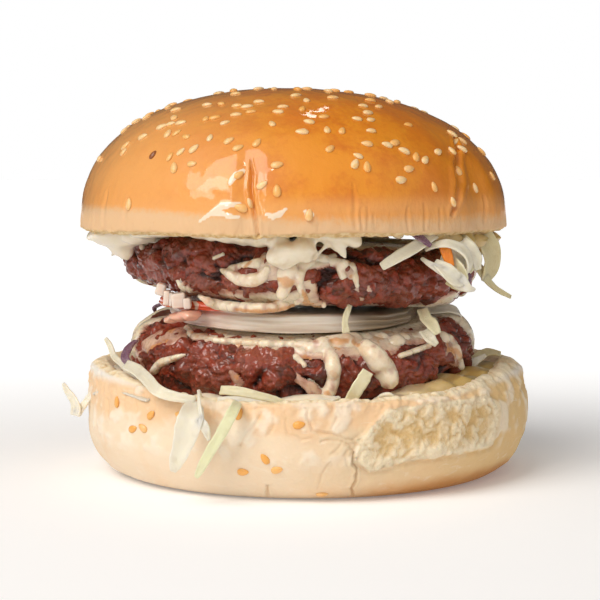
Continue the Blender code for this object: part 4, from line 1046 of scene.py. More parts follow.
def beef_finish(filling):
    """Grilled mince: mahogany to brown crumbs, charred in places, wet with fat. Painted shade turns the gaps
    between crumbs nearly black, and painted light makes the crumbs that stand out lighter and redder.
    """
    finish = Finish("beef", {
        "Coat Roughness": 0.06, "Subsurface Weight": 0.06, "Subsurface Radius": (1.0, 0.3, 0.2),
        "Subsurface Scale": 0.8 * MM, "Specular IOR Level": 0.25,
    })
    tone = finish.painted("tone")
    crevice = finish.painted("crevice")
    raised = finish.painted("raised")
    patch = finish.noise(10 * MM, 4, 0.6, 0.4)
    grain = finish.noise(1.8 * MM, 4, 0.65, 0.5)
    speck = finish.noise(0.6 * MM, 3, 0.6)
    flesh = finish.mix((tone * 0.5 + grain * 0.5).smooth(0.3, 0.7), filling.beef_red, filling.beef_brown)
    flesh = finish.mix((patch * 0.7 + grain * 0.3).smooth(0.50, 0.62) * 0.7, flesh, filling.beef_pink)
    red = finish.mix(speck.smooth(0.5, 0.7) * 0.6, flesh, (0.42, 0.075, 0.03))
    charred = finish.mix((patch * 0.6 + tone * 0.4).smooth(0.47, 0.33) * 0.85, red, filling.beef_char)
    # Painted shade: the gaps between crumbs go nearly black
    dark = finish.mix(crevice.smooth(0.05, 0.62) * 0.94, charred, (0.016, 0.003, 0.002))
    # Painted light: the crumbs that stand out are lighter and redder
    finish.wire("Base Color", finish.mix(raised * 0.2, dark, (0.38, 0.075, 0.03)))
    finish.wire("Roughness", grain.smooth(0.3, 0.7) * 0.3 + 0.3)
    finish.wire("Coat Weight", (1 - crevice) * (patch * 0.5 + grain * 0.5).smooth(0.36, 0.52) * 0.95 + 0.05)
    coarse = finish.relief(grain, 0.7 * MM)
    finish.wire("Normal", finish.relief(speck, 0.35 * MM, coarse))
    return finish


def cheese_finish(filling):
    """Melted cheese: creamy where it is thick, thin enough for the meat to show elsewhere."""
    finish = Finish("melted_cheese", {
        "Coat Weight": 0.5, "Coat Roughness": 0.12, "Subsurface Weight": 0.35,
        "Subsurface Radius": (1.0, 0.65, 0.35), "Subsurface Scale": 1.6 * MM, "Specular IOR Level": 0.5,
    })
    depth = finish.painted("depth")
    stain = finish.painted("stain")
    cloud = finish.noise(4 * MM, 4, 0.6, 0.3)
    fine = finish.noise(1.0 * MM, 3, 0.6)
    thick = (depth + cloud * 0.7 - 0.35).smooth(0.05, 1.0)
    thin = finish.mix(cloud.smooth(0.35, 0.65), (0.40, 0.15, 0.10), (0.62, 0.36, 0.26))
    creamy = finish.mix(cloud.smooth(0.45, 0.75), filling.cheese, (0.80, 0.63, 0.42))
    body = finish.mix(thick, thin, creamy)
    oily = finish.mix((stain + fine * 0.4 - 0.2).smooth(0.1, 0.95) * 0.75, body, filling.cheese_brown)
    finish.wire("Base Color", oily)
    finish.wire("Roughness", fine.smooth(0.3, 0.7) * 0.15 + 0.22)
    finish.wire("Normal", finish.relief(finish.noise(1.8 * MM, 3), 0.18 * MM))
    return finish


def onion_finish(filling):
    """Wet, translucent onion with fine lines along its layers. Painted light makes it paler along its top
    and lighter and pinkish at the left, and painted shade makes it dull and dark at the right."""
    finish = Finish("onion", {
        "Coat Weight": 0.4, "Coat Roughness": 0.16, "Subsurface Weight": 0.6,
        "Subsurface Radius": (1.0, 0.8, 0.6), "Subsurface Scale": 2.5 * MM,
    })
    lines = finish.noise(2.4 * MM, 4, 0.6, 0.0, (0.12, 0.12, 3.0))
    cloud = finish.noise(7 * MM, 3)
    body = finish.mix(cloud.smooth(0.35, 0.65), filling.onion, (0.76, 0.67, 0.56))
    # Painted light: paler along the top
    body = finish.mix(finish.along("Z").smooth(37.5 * MM, 41 * MM) * 0.7, body, (0.90, 0.84, 0.74))
    lined = finish.mix(lines.smooth(0.45, 0.7) * 0.4, body, (0.56, 0.40, 0.29))
    # Painted light makes the left lighter and pinkish, and painted shade makes the right dark
    right = finish.along("X").smooth(7 * MM, 18 * MM)
    left = finish.along("X").smooth(-10 * MM, -26 * MM)
    lit_and_shaded = finish.mix(left * 0.5, finish.mix(right * 0.85, lined, (0.27, 0.20, 0.11)), (0.80, 0.56, 0.48))
    finish.wire("Base Color", lit_and_shaded)
    finish.wire("Roughness", lines * 0.25 + 0.28)
    finish.wire("Normal", finish.relief(lines, 0.08 * MM))
    return finish


def tomato_finish(filling):
    finish = Finish("tomato", {
        "Coat Weight": 0.7, "Coat Roughness": 0.08, "Subsurface Weight": 0.3,
        "Subsurface Radius": (1.0, 0.3, 0.2), "Subsurface Scale": 2.0 * MM, "Roughness": 0.25,
    })
    cloud = finish.noise(3.2 * MM, 3, 0.6, 0.6)
    fleck = finish.painted("fleck")
    flesh = finish.mix(cloud.smooth(0.4, 0.7), filling.tomato, (0.80, 0.24, 0.10))
    finish.wire("Base Color", finish.mix(fleck, flesh, (0.82, 0.62, 0.48)))
    finish.wire("Normal", finish.relief(cloud, 0.2 * MM))
    return finish


def cream_finish(filling):
    """Glossy cream sauce, with painted shade that makes it tanner at the right."""
    finish = Finish("cream", {
        "Coat Weight": 0.6, "Coat Roughness": 0.08, "Subsurface Weight": 0.4,
        "Subsurface Radius": (1.0, 0.75, 0.45), "Subsurface Scale": 2.0 * MM, "Roughness": 0.3,
    })
    cloud = finish.noise(5 * MM, 4, 0.6, 0.4)
    # Painted shade: the sauce turns tan towards the right
    right = finish.along("X").smooth(8 * MM, 40 * MM)
    body = finish.mix(right, filling.cream, filling.cream_shaded)
    finish.wire("Base Color", finish.mix(cloud.smooth(0.5, 0.75) * 0.5, body, (0.60, 0.46, 0.26)))
    finish.wire("Normal", finish.relief(finish.noise(2.0 * MM, 3), 0.12 * MM))
    return finish


def cabbage_finish():
    """Shredded cabbage: fibres and veins along each shred, in its own tint."""
    finish = Finish("cabbage", {
        "Coat Weight": 0.3, "Coat Roughness": 0.15, "Subsurface Weight": 0.4,
        "Subsurface Radius": (1.0, 0.85, 0.55), "Subsurface Scale": 1.5 * MM,
    })
    tint = finish.tint("tint")
    across = finish.painted("across")
    along = finish.painted("along")
    place = finish.node("ShaderNodeCombineXYZ", {},
        {"X": along * 0.35, "Y": across * 3.0, "Z": finish.painted("tone") * 9.0})
    fibre = finish.node("ShaderNodeTexNoise", {},
        {"Vector": place, "Scale": 2.2, "Detail": 4.0, "Roughness": 0.6})
    cloud = finish.noise(3 * MM, 3)
    veined = finish.mix(fibre.smooth(0.42, 0.68) * 0.45, tint, finish.mix(0.65, tint, (0.92, 0.88, 0.74)))
    dull = finish.mix(cloud.smooth(0.5, 0.75) * 0.35, veined, finish.mix(0.6, tint, (0.40, 0.30, 0.12)))
    finish.wire("Base Color", dull)
    finish.wire("Roughness", fibre * 0.25 + 0.25)
    finish.wire("Normal", finish.relief(fibre, 0.22 * MM))
    return finish


def carrot_finish():
    finish = Finish("carrot", {
        "Coat Weight": 0.4, "Coat Roughness": 0.15, "Subsurface Weight": 0.2,
        "Subsurface Radius": (1.0, 0.4, 0.1), "Subsurface Scale": 1.0 * MM, "Roughness": 0.35,
    })
    streak = finish.noise(1.5 * MM, 3, 0.6, 0.0, (2, 2, 0.4))
    body = finish.mix(streak.smooth(0.35, 0.7), (0.86, 0.27, 0.008), (0.72, 0.19, 0.004))
    finish.wire("Base Color", body)
    finish.wire("Normal", finish.relief(streak, 0.12 * MM))
    return finish


def floor_finish(stage):
    finish = Finish("pale_floor", {
        "Roughness": 0.85, "Specular IOR Level": 0.1, "Emission Strength": stage.floor_glow,
    })
    cloud = finish.noise(60 * MM, 3)
    dim = tuple(0.985 * value for value in stage.floor_colour)
    behind = finish.along("Y").smooth(0, 300 * MM)
    finish.wire("Emission Color", finish.mix(behind, (0.26, 0.27, 0.29), (0.92, 0.96, 1.0)))
    finish.wire("Base Color", finish.mix(cloud, stage.floor_colour, dim))
    return finish


# Shapes

def crown_shape(bun):
    """The crown's outline, as place(bearing, travel): a dome with a rounded lip and a hollow
    underside."""
    rim_radius, dome_height = bun.crown_radius, bun.crown_height
    power = 2 / CROWN_FULLNESS

    def place(bearing, travel):
        share = travel / CROWN_UNDER
        lip = np.clip((travel - CROWN_UNDER) / (CROWN_LIP_TOP - CROWN_UNDER), 0, 1) * math.pi / 2
        dome = np.clip((travel - CROWN_LIP_TOP) / (1 - CROWN_LIP_TOP), 0, 1) * math.pi / 2
        parts = [travel < CROWN_UNDER, travel < CROWN_LIP_TOP]
        radius = np.select(
            parts, [(rim_radius - CROWN_LIP) * share, rim_radius - CROWN_LIP + CROWN_LIP * np.sin(lip)],
            rim_radius * np.maximum(0, np.cos(dome)) ** power)
        height = CROWN_BASE + np.select(
            parts, [CROWN_HOLLOW * (1 - share ** 2), CROWN_LIP * (1 - np.cos(lip))],
            CROWN_LIP + (dome_height - CROWN_LIP) * np.sin(dome) ** power)
        side = ramp(radius, 0.35 * rim_radius, rim_radius)
        lean = CROWN_LEAN * ((height - CROWN_BASE) / dome_height) ** 2
        over = travel > CROWN_UNDER
        spot = on_bearing(radius, bearing, height)
        radius = radius + over * side * 0.8 * MM * lumps(spot, 24 * MM, 3)
        height = height + over * 0.7 * MM * lumps(spot, 30 * MM, 8)
        low = ramp(height, CROWN_BASE + 26 * MM, CROWN_BASE + 12 * MM)
        for middle, half_width, depth in CROWN_DENTS:
            radius = radius - over * depth * side * low * bump(turn_between(bearing, middle), half_width)
        point = on_bearing(radius, bearing, height)
        point[:, 0] += CROWN_CENTRE_X - lean
        return point

    return place


def heel_shape(bun):
    """The heel's outline, as place(bearing, travel): a flat foot, a round belly, a rim that is
    higher at the sides and the back, and a dished cut face inside it."""
    outer = bun.heel_radius
    foot, belly_at, rim, edge = 0.22, 0.44, 0.56, 0.62

    def place(bearing, travel):
        sideways = np.sin(bearing)
        right = ramp(sideways, 0, 1)
        rise = HEEL_SIDE_RISE * sideways ** 2 + HEEL_BACK_RISE * np.maximum(0, -np.cos(bearing)) ** 2
        top = HEEL_RIM + rise + 0.5 * MM * np.sin(5 * bearing + 1.0)
        side_edge = np.where(sideways > 0, HEEL_RIGHT_EDGE, HEEL_LEFT_EDGE)
        bevel = HEEL_FRONT_EDGE + (side_edge - HEEL_FRONT_EDGE) * sideways ** 2
        belly = HEEL_BELLY + (HEEL_RIGHT_BELLY - HEEL_BELLY) * right
        waist = outer - HEEL_TAPER
        low = np.clip((travel - foot) / (belly_at - foot), 0, 1) * math.pi / 2
        wall = np.clip((travel - belly_at) / (rim - belly_at), 0, 1)
        corner = np.clip((travel - rim) / (edge - rim), 0, 1) * math.pi / 2
        face = (1 - travel) / (1 - edge)
        parts = [travel < foot, travel < belly_at, travel < rim, travel < edge]
        radius = np.select(parts, [
            HEEL_FOOT_RADIUS * travel / foot,
            HEEL_FOOT_RADIUS + (outer - HEEL_FOOT_RADIUS) * np.sin(low),
            outer - HEEL_TAPER * wall ** 2,
            waist - bevel * (1 - np.cos(corner)),
        ], (waist - bevel) * face)
        height = np.select(parts, [
            0 * travel,
            belly * (1 - np.cos(low)),
            belly + (top - bevel - belly) * wall,
            top - bevel * (1 - np.sin(corner)),
        ], HEEL_RIM - HEEL_DISH + (top - HEEL_RIM + HEEL_DISH) * ramp(face, 0.80, 1.0))
        side = ramp(travel, foot, belly_at) * ramp(travel, 0.64, edge)
        radius = radius + side * 0.9 * MM * lumps(on_bearing(radius, bearing, height), HEEL_LUMP, 5)
        point = on_bearing(radius, bearing, height)
        point[:, 0] += HEEL_CENTRE_X
        return point

    return place


def patty_shape(filling, patty):
    """A patty's outline, as place(bearing, travel) in the stack: a thick disc with a lumpy side."""
    widest = filling.patty_radius
    low, high = PATTY_SIDE
    turn = np.array(patty.turn.to_3x3())

    def place(bearing, travel):
        share = np.clip((travel - low) / (high - low), 0, 1)
        angle = share * math.pi - math.pi / 2
        flat = patty.foot + (patty.top - patty.foot) * share
        parts = [travel < low, travel > high]
        radius = np.select(
            parts, [patty.foot * travel / low, patty.top * (1 - travel) / (1 - high)],
            flat + (widest - flat) * np.cos(angle))
        height = patty.half * np.sin(angle)
        side = np.sqrt(np.maximum(0, np.cos(angle)))
        spot = on_bearing(radius, bearing, height)
        relief = lumps(spot, PATTY_LUMP, patty.seed) + 0.5 * lumps(spot, 0.5 * PATTY_LUMP, patty.seed + 4)
        uneven = 1.4 * MM * lumps(on_bearing(radius, bearing), 26 * MM, patty.seed + 2)
        radius = radius + side * (PATTY_RELIEF * relief + uneven)
        height = height + side * 0.7 * MM * lumps(spot, PATTY_LUMP, patty.seed + 9)
        swell = patty.shoulder * np.sin(bearing) ** 2 * ramp(travel, 0.5, high)
        height = height + swell * (radius / widest) ** 2
        return on_bearing(radius, bearing, height) @ turn.T + np.array(patty.centre)

    return place


def add_seed(seeds, size, point, normal, spin, tone):
    """A sesame seed that lies on a surface: a flat drop, pointed at one end."""
    across = Vector((0, 0, 1)).cross(normal)
    if across.length < 0.05:
        across = Vector((1, 0, 0))
    across.normalize()
    up = normal.cross(across)
    turned = across * math.cos(spin) + up * math.sin(spin)
    aside = normal.cross(turned)
    along, sideways, above = seeds.places.T
    taper = 1 - 0.5 * along - 0.25 * along * along
    breadth = sideways * SEED_BREADTH * size * taper
    height = above * SEED_HEIGHT * size * (0.6 + 0.4 * taper) + SEED_LIFT * size
    shaped = np.stack((along * size, breadth, height), axis=1)
    seeds.add(shaped @ np.array((turned, aside, normal)) + np.array(point), tone)


def seed_place(tree, column, row):
    """Where a seed of the photograph lies, and the bread's normal there."""
    point, normal = photo_hit(tree, column, row)
    if point is None:
        raise RuntimeError(f"There is no bread under the seed at {column}, {row}")
    return point, normal


def seed_copies():
    bm = bmesh.new()
    bmesh.ops.create_uvsphere(bm, u_segments=10, v_segments=6, radius=0.5)
    bmesh.ops.rotate(bm, verts=bm.verts, matrix=Matrix.Rotation(math.pi / 2, 3, "Y"))
    return Copies(bm)


def shred_frames(points, count, face):
    """Points along a path with the direction across it at each, carried along without a twist from
    the middle, where the broad side faces the given way."""
    path = [Vector(point) for point in smooth_path(points, count)]
    ahead = [(path[min(i + 1, count - 1)] - path[max(i - 1, 0)]).normalized() for i in range(count)]
    middle = count // 2
    across = {middle: ahead[middle].cross(Vector(face)).normalized()}
    for i in range(middle + 1, count):
        across[i] = (across[i - 1] - ahead[i] * across[i - 1].dot(ahead[i])).normalized()
    for i in reversed(range(middle)):
        across[i] = (across[i + 1] - ahead[i] * across[i + 1].dot(ahead[i])).normalized()
    return [(path[i], across[i], across[i].cross(ahead[i])) for i in range(count)]


class ShredHeap:
    """Shreds in one mesh, each a bent strip with its own tint, width and curl."""

    def __init__(self):
        self.bm = bmesh.new()
        self.tint = self.bm.verts.layers.float_color.new("tint")
        self.along = self.bm.verts.layers.float.new("along")
        self.across = self.bm.verts.layers.float.new("across")
        self.tone = self.bm.verts.layers.float.new("tone")
        self.draw = random.Random(77)

    def add(self, points, widths, face, cup, tint, steps=26, breadth=4):
        """Points in metres, widths in millimetres."""
        frames = shred_frames(points, steps + 1, face)
        widths = [float(value[0]) for value in smooth_path([(width,) for width in widths], steps + 1)]
        seed = self.draw.uniform(0, 50)
        made = bmesh.ops.create_grid(self.bm, x_segments=steps, y_segments=breadth, size=1.0)
        for vert in made["verts"]:
            at = round((vert.co.x + 1) / 2 * steps)
            side = vert.co.y
            middle, across, through = frames[at]
            width = max(widths[at], 0.4) * MM
            ragged = 1 + 0.12 * noise.noise(Vector((at * 0.45, side * 2, seed)))
            wave = 0.28 * MM * noise.noise(Vector((at * 0.22, side * 1.1, seed + 9)))
            lift = cup * width * (side * side - 0.5) * 0.5
            vert.co = middle + across * (side * width / 2 * ragged) + through * (wave + lift)
            vert[self.tint] = (*tint, 1.0)
            vert[self.along] = at
            vert[self.across] = side * width / MM
            vert[self.tone] = seed / 50

    def add_seen(self, shred):
        """A shred that is read off the photograph."""
        points = [photo_place(*point) for point in shred.points]
        self.add(points, shred.widths, shred.face, shred.cup, shred.tint)

    def finish(self, name, finish, slot, thickness, nodes=()):
        piece = add_piece(name, self.bm, finish, slot, nodes)
        wall = piece.modifiers.new("thickness", "SOLIDIFY")
        wall.thickness = thickness
        wall.offset = 0
        rounding = piece.modifiers.new("rounding", "SUBSURF")
        rounding.levels = rounding.render_levels = 1


def random_shreds(heap, seed, count, bearings, radius, height, hang):
    """Shreds by rule, for the sides and the back: each comes out of the heap and droops."""
    draw = random.Random(seed)
    first, last = bearings
    for i in range(count):
        bearing = math.radians(first + (last - first) * (i + 0.5) / count + draw.uniform(-5, 5))
        swing = math.radians(draw.uniform(-20, 20))
        fall = draw.uniform(0.2, 1.0) * hang
        reach = draw.uniform(0.98, 1.07)
        lift = draw.uniform(-1.0, 1.2) * MM
        points = (
            on_bearing(radius * 0.82, bearing - 0.4 * swing, height + lift),
            on_bearing(radius * 0.95, bearing, height + lift + 0.6 * MM),
            on_bearing(radius * reach, bearing + 0.6 * swing, height + lift - 0.3 * fall),
            on_bearing(radius * (reach + 0.02), bearing + swing, height + lift - fall),
        )
        width = draw.uniform(1.5, 3.6)
        widths = (width * 0.8, width, width, width * draw.uniform(0.4, 0.9))
        face = on_bearing(1, bearing + draw.uniform(-0.5, 0.5), draw.uniform(0.2, 0.9))
        heap.add(points, widths, face, draw.uniform(0.1, 0.4), draw.choice(RULE_TINTS), 16, 3)


def patty_side(surface, patty):
    """The bearing in degrees and the height over the patty's middle in millimetres of each point."""
    local = (surface.points - np.array(patty.centre)) @ np.array(patty.turn.to_3x3())
    return np.degrees(np.arctan2(local[:, 0], -local[:, 1])), local[:, 2] / MM


def run_swell(inside, depth):
    """What one run adds before the runs blend: round on top, and falling off outside its edge."""
    round_top = depth * np.sqrt(np.maximum(inside, 0))
    deep = np.where(inside > 0, round_top, np.maximum(inside * RUN_EDGE_SLOPE, BARE))
    return np.exp(RUN_BLEND * deep)


def run_depths(surface, patty, runs, side_runs, sheet):
    """How deep melted cheese lies over each point, in millimetres, less than 0 where there is
    none. sheet is the depth of the sheet on the flat of the patty."""
    wobble = 1.6 * surface.noise(5 * MM, 3) + 1.0 * surface.noise(1.8 * MM, 5)
    total = np.exp(RUN_BLEND * sheet)
    bearings, heights = patty_side(surface, patty)
    scale = math.radians(1) * PATTY_REACH
    for line, depth in runs:
        total += run_swell(surface.trace(line, wobble), depth)
    for line, depth in side_runs:
        middle = line[0][0]
        away = (bearings - middle + 180) % 360 - 180
        placed = [
            ((bearing - middle) * scale, height, SIDE_RUN_SLIMMING * width)
            for bearing, height, width in line]
        inside = trace_line(away * scale + wobble * 0.9, heights + wobble * 0.6, placed)
        total += run_swell(inside, depth)
    return np.log(total) / RUN_BLEND


def oil_spots(surface):
    """Small spots of oil all over the cheese, from 0 to 1."""
    return ramp(surface.noise(3.2 * MM, 21) + 0.5 * surface.noise(1.2 * MM, 22), 0.30, 0.62)


def stained(surface):
    """Where the photograph shows cheese that oil and heat have turned orange, from 0 to 1."""
    stain = np.zeros(len(surface.points))
    wobble = 1.9 * surface.noise(2 * MM, 6)
    for line in CHEESE_STAINS:
        stain = np.maximum(stain, 0.85 * ramp(surface.trace(line, wobble), -1.3, 1.2))
    return stain


def melted_sheet(name, filling, patty, below, runs, side_runs, finish, nodes):
    """Melted cheese that hugs a patty: a sheet on its flat face, and runs down its side."""
    surface = Surface(round_body(*CHEESE_MESH, patty_shape(filling, patty), PATTY_SPREAD))
    _, heights = patty_side(surface, patty)
    distance = np.hypot(*(surface.points[:, :2] - np.array(patty.centre)[:2]).T) / MM
    edge = (33.5 if below else 35) + 1.5 * surface.noise(11 * MM, patty.seed)
    flat = ramp(distance, edge + 2.0, edge - 1.5) * (filling.cheese_thickness / MM + 0.8) - 0.8
    sheet = np.where(heights < 0 if below else heights > 0, flat, BARE)
    deep = run_depths(surface, patty, runs, side_runs, sheet)
    surface.push((deep + 0.1 * surface.noise(2.5 * MM, 8)) * MM)
    surface.paint("depth", deep)
    thin = ramp(deep, 2.0, 0.3)
    surface.paint("stain", np.maximum(oil_spots(surface) * thin * 0.7, stained(surface)))
    bm = bmesh.new()
    bm.from_mesh(surface.mesh)
    bpy.data.meshes.remove(surface.mesh)
    bare = [vert for vert, value in zip(bm.verts, deep) if value < CHEESE_EDGE]
    bmesh.ops.delete(bm, geom=bare, context="VERTS")
    keep_large_parts(bm, FEWEST_FACES)
    piece = add_piece(name, bm, finish, "cheese", nodes)
    wall = piece.modifiers.new("thickness", "SOLIDIFY")
    wall.thickness = CHEESE_WALL
    wall.offset = -1


def keep_large_parts(bm, fewest):
    """Drops separate scraps that have fewer faces than the given number."""
    unseen = set(bm.faces)
    scraps = []
    while unseen:
        todo = [unseen.pop()]
        part = list(todo)
        while todo:
            for edge in todo.pop().edges:
                for face in edge.link_faces:
                    if face in unseen:
                        unseen.discard(face)
                        part.append(face)
                        todo.append(face)
        if len(part) < fewest:
            scraps.extend(part)
    bmesh.ops.delete(bm, geom=scraps, context="FACES")


def melted_drips(name, tree, drips, finish):
    """Thick runs of melted cheese, each clinging to the surface that the photograph shows."""
    copies = balls()
    for line, depth in drips:
        add_drip(copies, tree, line, depth)
    surface = Surface(melted_together(copies.bm, DRIP_VOXEL, 3))
    surface.push(0.12 * MM * surface.noise(2.2 * MM, 4))
    surface.paint("depth", 1.1 + 0.9 * surface.noise(2.4 * MM, 12))
    surface.paint("stain", np.maximum(oil_spots(surface) * 0.45, stained(surface)))
    add_piece(name, surface, finish, "cheese")


# Settings

def colour(name, description, default):
    return FloatVectorProperty(
        name=name, description=description, default=default, size=3, subtype="COLOR", min=0.0, max=1.0)


def length(name, description, default):
    return FloatProperty(
        name=name, description=description, default=default, min=0.0, soft_max=0.2, unit="LENGTH",
        subtype="DISTANCE")


def amount(name, description, default):
    return FloatProperty(name=name, description=description, default=default, min=0.0)


class BunSettings(bpy.types.PropertyGroup):
    """Sizes and colours of the crown, the heel and the seeds."""

    crown_radius: length("Crown radius", "Radius of the crown at its rim", 54.8 * MM)
    crown_height: length("Crown height", "Height of the crown over its lower edge", 36.2 * MM)
    heel_radius: length("Heel radius", "Radius of the heel at its widest", 57.2 * MM)
    seed_length: length("Seed length", "Length of a sesame seed", 2.95 * MM)
    seed_count: IntProperty(
        name="Seeds", default=95, min=0,
        description="Sesame seeds on the crown, besides those placed one by one")
    golden: colour("Golden crust", "Glazed crust on top", (0.775, 0.272, 0.011))
    deep_golden: colour("Deep golden crust", "Darker patches of the glazed crust", (0.66, 0.18, 0.006))
    # The crust at the right is a painted shade of the golden crust; the pale orange colour also stands for
    # painted light at the left
    shaded_ochre: colour("Ochre crust", "Crust at the right", (0.62, 0.20, 0.006))
    peach_and_lit_left: colour("Peach crust", "Crust at the left and lower down", (0.80, 0.37, 0.11))
    pale: colour("Pale edge", "Unglazed lower edge of the crown", (0.73, 0.47, 0.26))
    cream: colour("Smeared cream", "Sauce smeared on the crown", (0.86, 0.74, 0.58))
    seed: colour("Sesame", "Untoasted sesame seed", (0.88, 0.64, 0.36))
    # The heel's lit and shaded sides are painted light and painted shade on one skin
    heel_lit_side: colour("Heel, lit side", "Pale skin of the heel at the left", (0.84, 0.68, 0.50))
    heel_shaded_side: colour("Heel, shaded side", "Skin of the heel at the right", (0.74, 0.51, 0.24))
    heel_peach: colour("Heel blush", "Warmer patches of the heel", (0.82, 0.55, 0.32))
    heel_brown: colour("Heel foot", "Browned crust along the heel's foot", (0.58, 0.28, 0.09))


class FillingSettings(bpy.types.PropertyGroup):
    """Sizes and colours of the meat, the cheese, the vegetables and the sauce."""

    patty_radius: length("Patty radius", "Radius of a patty at its widest", 44 * MM)
    mince_size: length("Mince size", "Breadth of the crumbs that the patties are made of", 4.6 * MM)
    mince_depth: length("Mince depth", "How far the crumbs stand out", 1.8 * MM)
    cheese_thickness: length("Cheese thickness", "Thickness of the melted sheet", 1.1 * MM)
    shred_thickness: length("Shred thickness", "Thickness of a cabbage shred", 0.75 * MM)
    beef_red: colour("Beef, mahogany", "Glazed reddish crumbs", (0.31, 0.033, 0.010))
    beef_brown: colour("Beef, brown", "Browned crumbs", (0.15, 0.027, 0.010))
    beef_pink: colour("Beef, pinkish", "Paler patches of the meat", (0.34, 0.088, 0.052))
    beef_char: colour("Beef, charred", "Charred crumbs", (0.030, 0.010, 0.006))
    cheese: colour("Cheese", "Thick melted cheese", (0.86, 0.75, 0.58))
    cheese_brown: colour("Cheese, browned", "Browned and oily spots", (0.66, 0.27, 0.05))
    onion: colour("Onion", "Translucent slice", (0.66, 0.55, 0.45))
    tomato: colour("Tomato", "Red flesh", (0.72, 0.10, 0.035))
    cream: colour("Cream", "Sauce in the light", (0.86, 0.78, 0.62))
    # Painted shade of the sauce, for its right side
    cream_shaded: colour("Cream at the right", "Sauce at the right", (0.53, 0.36, 0.115))


class StageSettings(bpy.types.PropertyGroup):
    """The floor, the light and the camera."""

    camera_distance: length("Camera distance", "Distance of the camera in front of the origin", 452 * MM)
    camera_height: length("Camera height", "Height of the camera over the floor", 80 * MM)
    floor_colour: colour("Floor", "Pale floor", (0.95, 0.95, 0.955))
    floor_glow: amount("Floor glow", "Lifts the floor to the white of the backdrop", 0.46)
    room: amount("Room light", "Strength of the light from all round", 0.60)
    key: amount("Key light", "Strength of the broad light from the upper left", 1.24)
    windows: amount("Window light", "Power of the window panes that the glaze mirrors, in watts", 0.77)


# Operators

class BurgerPiece:
    """What the operators share."""

    bl_options = {"REGISTER", "UNDO"}

    @property
    def bun(self):
        return bpy.context.scene.burger_bun

    @property
    def filling(self):
        return bpy.context.scene.burger_filling

    @property
    def stage(self):
        return bpy.context.scene.burger_stage


class BURGER_OT_stage(BurgerPiece, bpy.types.Operator):
    """Add the floor, the light and the camera"""

    bl_idname = "burger.stage"
    bl_label = "Stage"

    def execute(self, context):
        self.add_camera(context.scene)
        self.add_floor(context.scene)
        self.add_light(context.scene)
        return {"FINISHED"}

    def add_camera(self, scene):
        data = bpy.data.cameras.new("camera")
        data.sensor_width = SENSOR_WIDTH
        data.lens = PHOTO_FOCAL / (2 * PHOTO_MIDDLE) * SENSOR_WIDTH
        data.clip_start = 10 * MM
        camera = bpy.data.objects.new("camera", data)
        camera.location = (0, -self.stage.camera_distance, self.stage.camera_height)
        camera.rotation_euler = (math.pi / 2 - CAMERA_TILT, 0, 0)
        scene.collection.objects.link(camera)
        scene.camera = camera

    def add_floor(self, scene):
        bm = bmesh.new()
        bmesh.ops.create_grid(bm, x_segments=1, y_segments=1, size=FLOOR_HALF_SIZE)
        mesh = bpy.data.meshes.new("floor")
        bm.to_mesh(mesh)
        bm.free()
        mesh.materials.append(floor_finish(self.stage).material)
        floor = bpy.data.objects.new("floor", mesh)
        scene.collection.objects.link(floor)

    def add_light(self, scene):
        world = bpy.data.worlds.new("room")
        world.use_nodes = True
        nodes, links = world.node_tree.nodes, world.node_tree.links
        room = nodes["Background"]
        room.inputs["Color"].default_value = (*ROOM_TINT, 1.0)
        self.shade_room(nodes, links, room)
        backdrop = nodes.new("ShaderNodeBackground")
        backdrop.inputs["Color"].default_value = (1, 1, 1, 1)
        choice = nodes.new("ShaderNodeMixShader")
        seen = nodes.new("ShaderNodeLightPath")
        links.new(seen.outputs["Is Camera Ray"], choice.inputs[0])
        links.new(room.outputs[0], choice.inputs[1])
        links.new(backdrop.outputs[0], choice.inputs[2])
        links.new(choice.outputs[0], nodes["World Output"].inputs["Surface"])
        scene.world = world
        scene.view_settings.view_transform = "Standard"
        self.add_key(scene)
        for window in WINDOWS:
            self.add_window(scene, *window)

    def shade_room(self, nodes, links, room):
        """Light from all round that fades towards the back, where the room is dark."""
        place = nodes.new("ShaderNodeTexCoord")
        parts = nodes.new("ShaderNodeSeparateXYZ")
        fade = nodes.new("ShaderNodeMapRange")
        fade.interpolation_type = "SMOOTHSTEP"
        fade.inputs["From Min"].default_value, fade.inputs["From Max"].default_value = ROOM_FADE
        fade.inputs["To Min"].default_value = self.stage.room
        fade.inputs["To Max"].default_value = ROOM_BACK * self.stage.room
        links.new(place.outputs["Generated"], parts.inputs[0])
        links.new(parts.outputs["Y"], fade.inputs["Value"])
        links.new(fade.outputs[0], room.inputs["Strength"])

    def add_key(self, scene):
        data = bpy.data.lights.new("key_sun", "SUN")
        data.energy = self.stage.key
        data.angle = KEY_SOFTNESS
        data.color = KEY_TINT
        self.aim(scene, "key_sun", data, *KEY_FROM, 1.0)

    def add_window(self, scene, name, bearing, elevation, size, share):
        data = bpy.data.lights.new(name, "AREA")
        data.shape = "RECTANGLE"
        data.size, data.size_y = size
        data.energy = self.stage.windows * share
        data.color = WINDOW_TINT
        self.aim(scene, name, data, bearing, elevation, WINDOW_DISTANCE)

    def aim(self, scene, name, data, bearing, elevation, distance):
        """Puts a light on a bearing and an elevation, and turns it to the burger."""
        target = Vector(LIT_POINT)
        rise = math.radians(elevation)
        out = Vector(on_bearing(math.cos(rise), math.radians(bearing), math.sin(rise)))
        light = bpy.data.objects.new(name, data)
        light.location = target + out * distance
        light.rotation_euler = out.to_track_quat("Z", "Y").to_euler()
        scene.collection.objects.link(light)


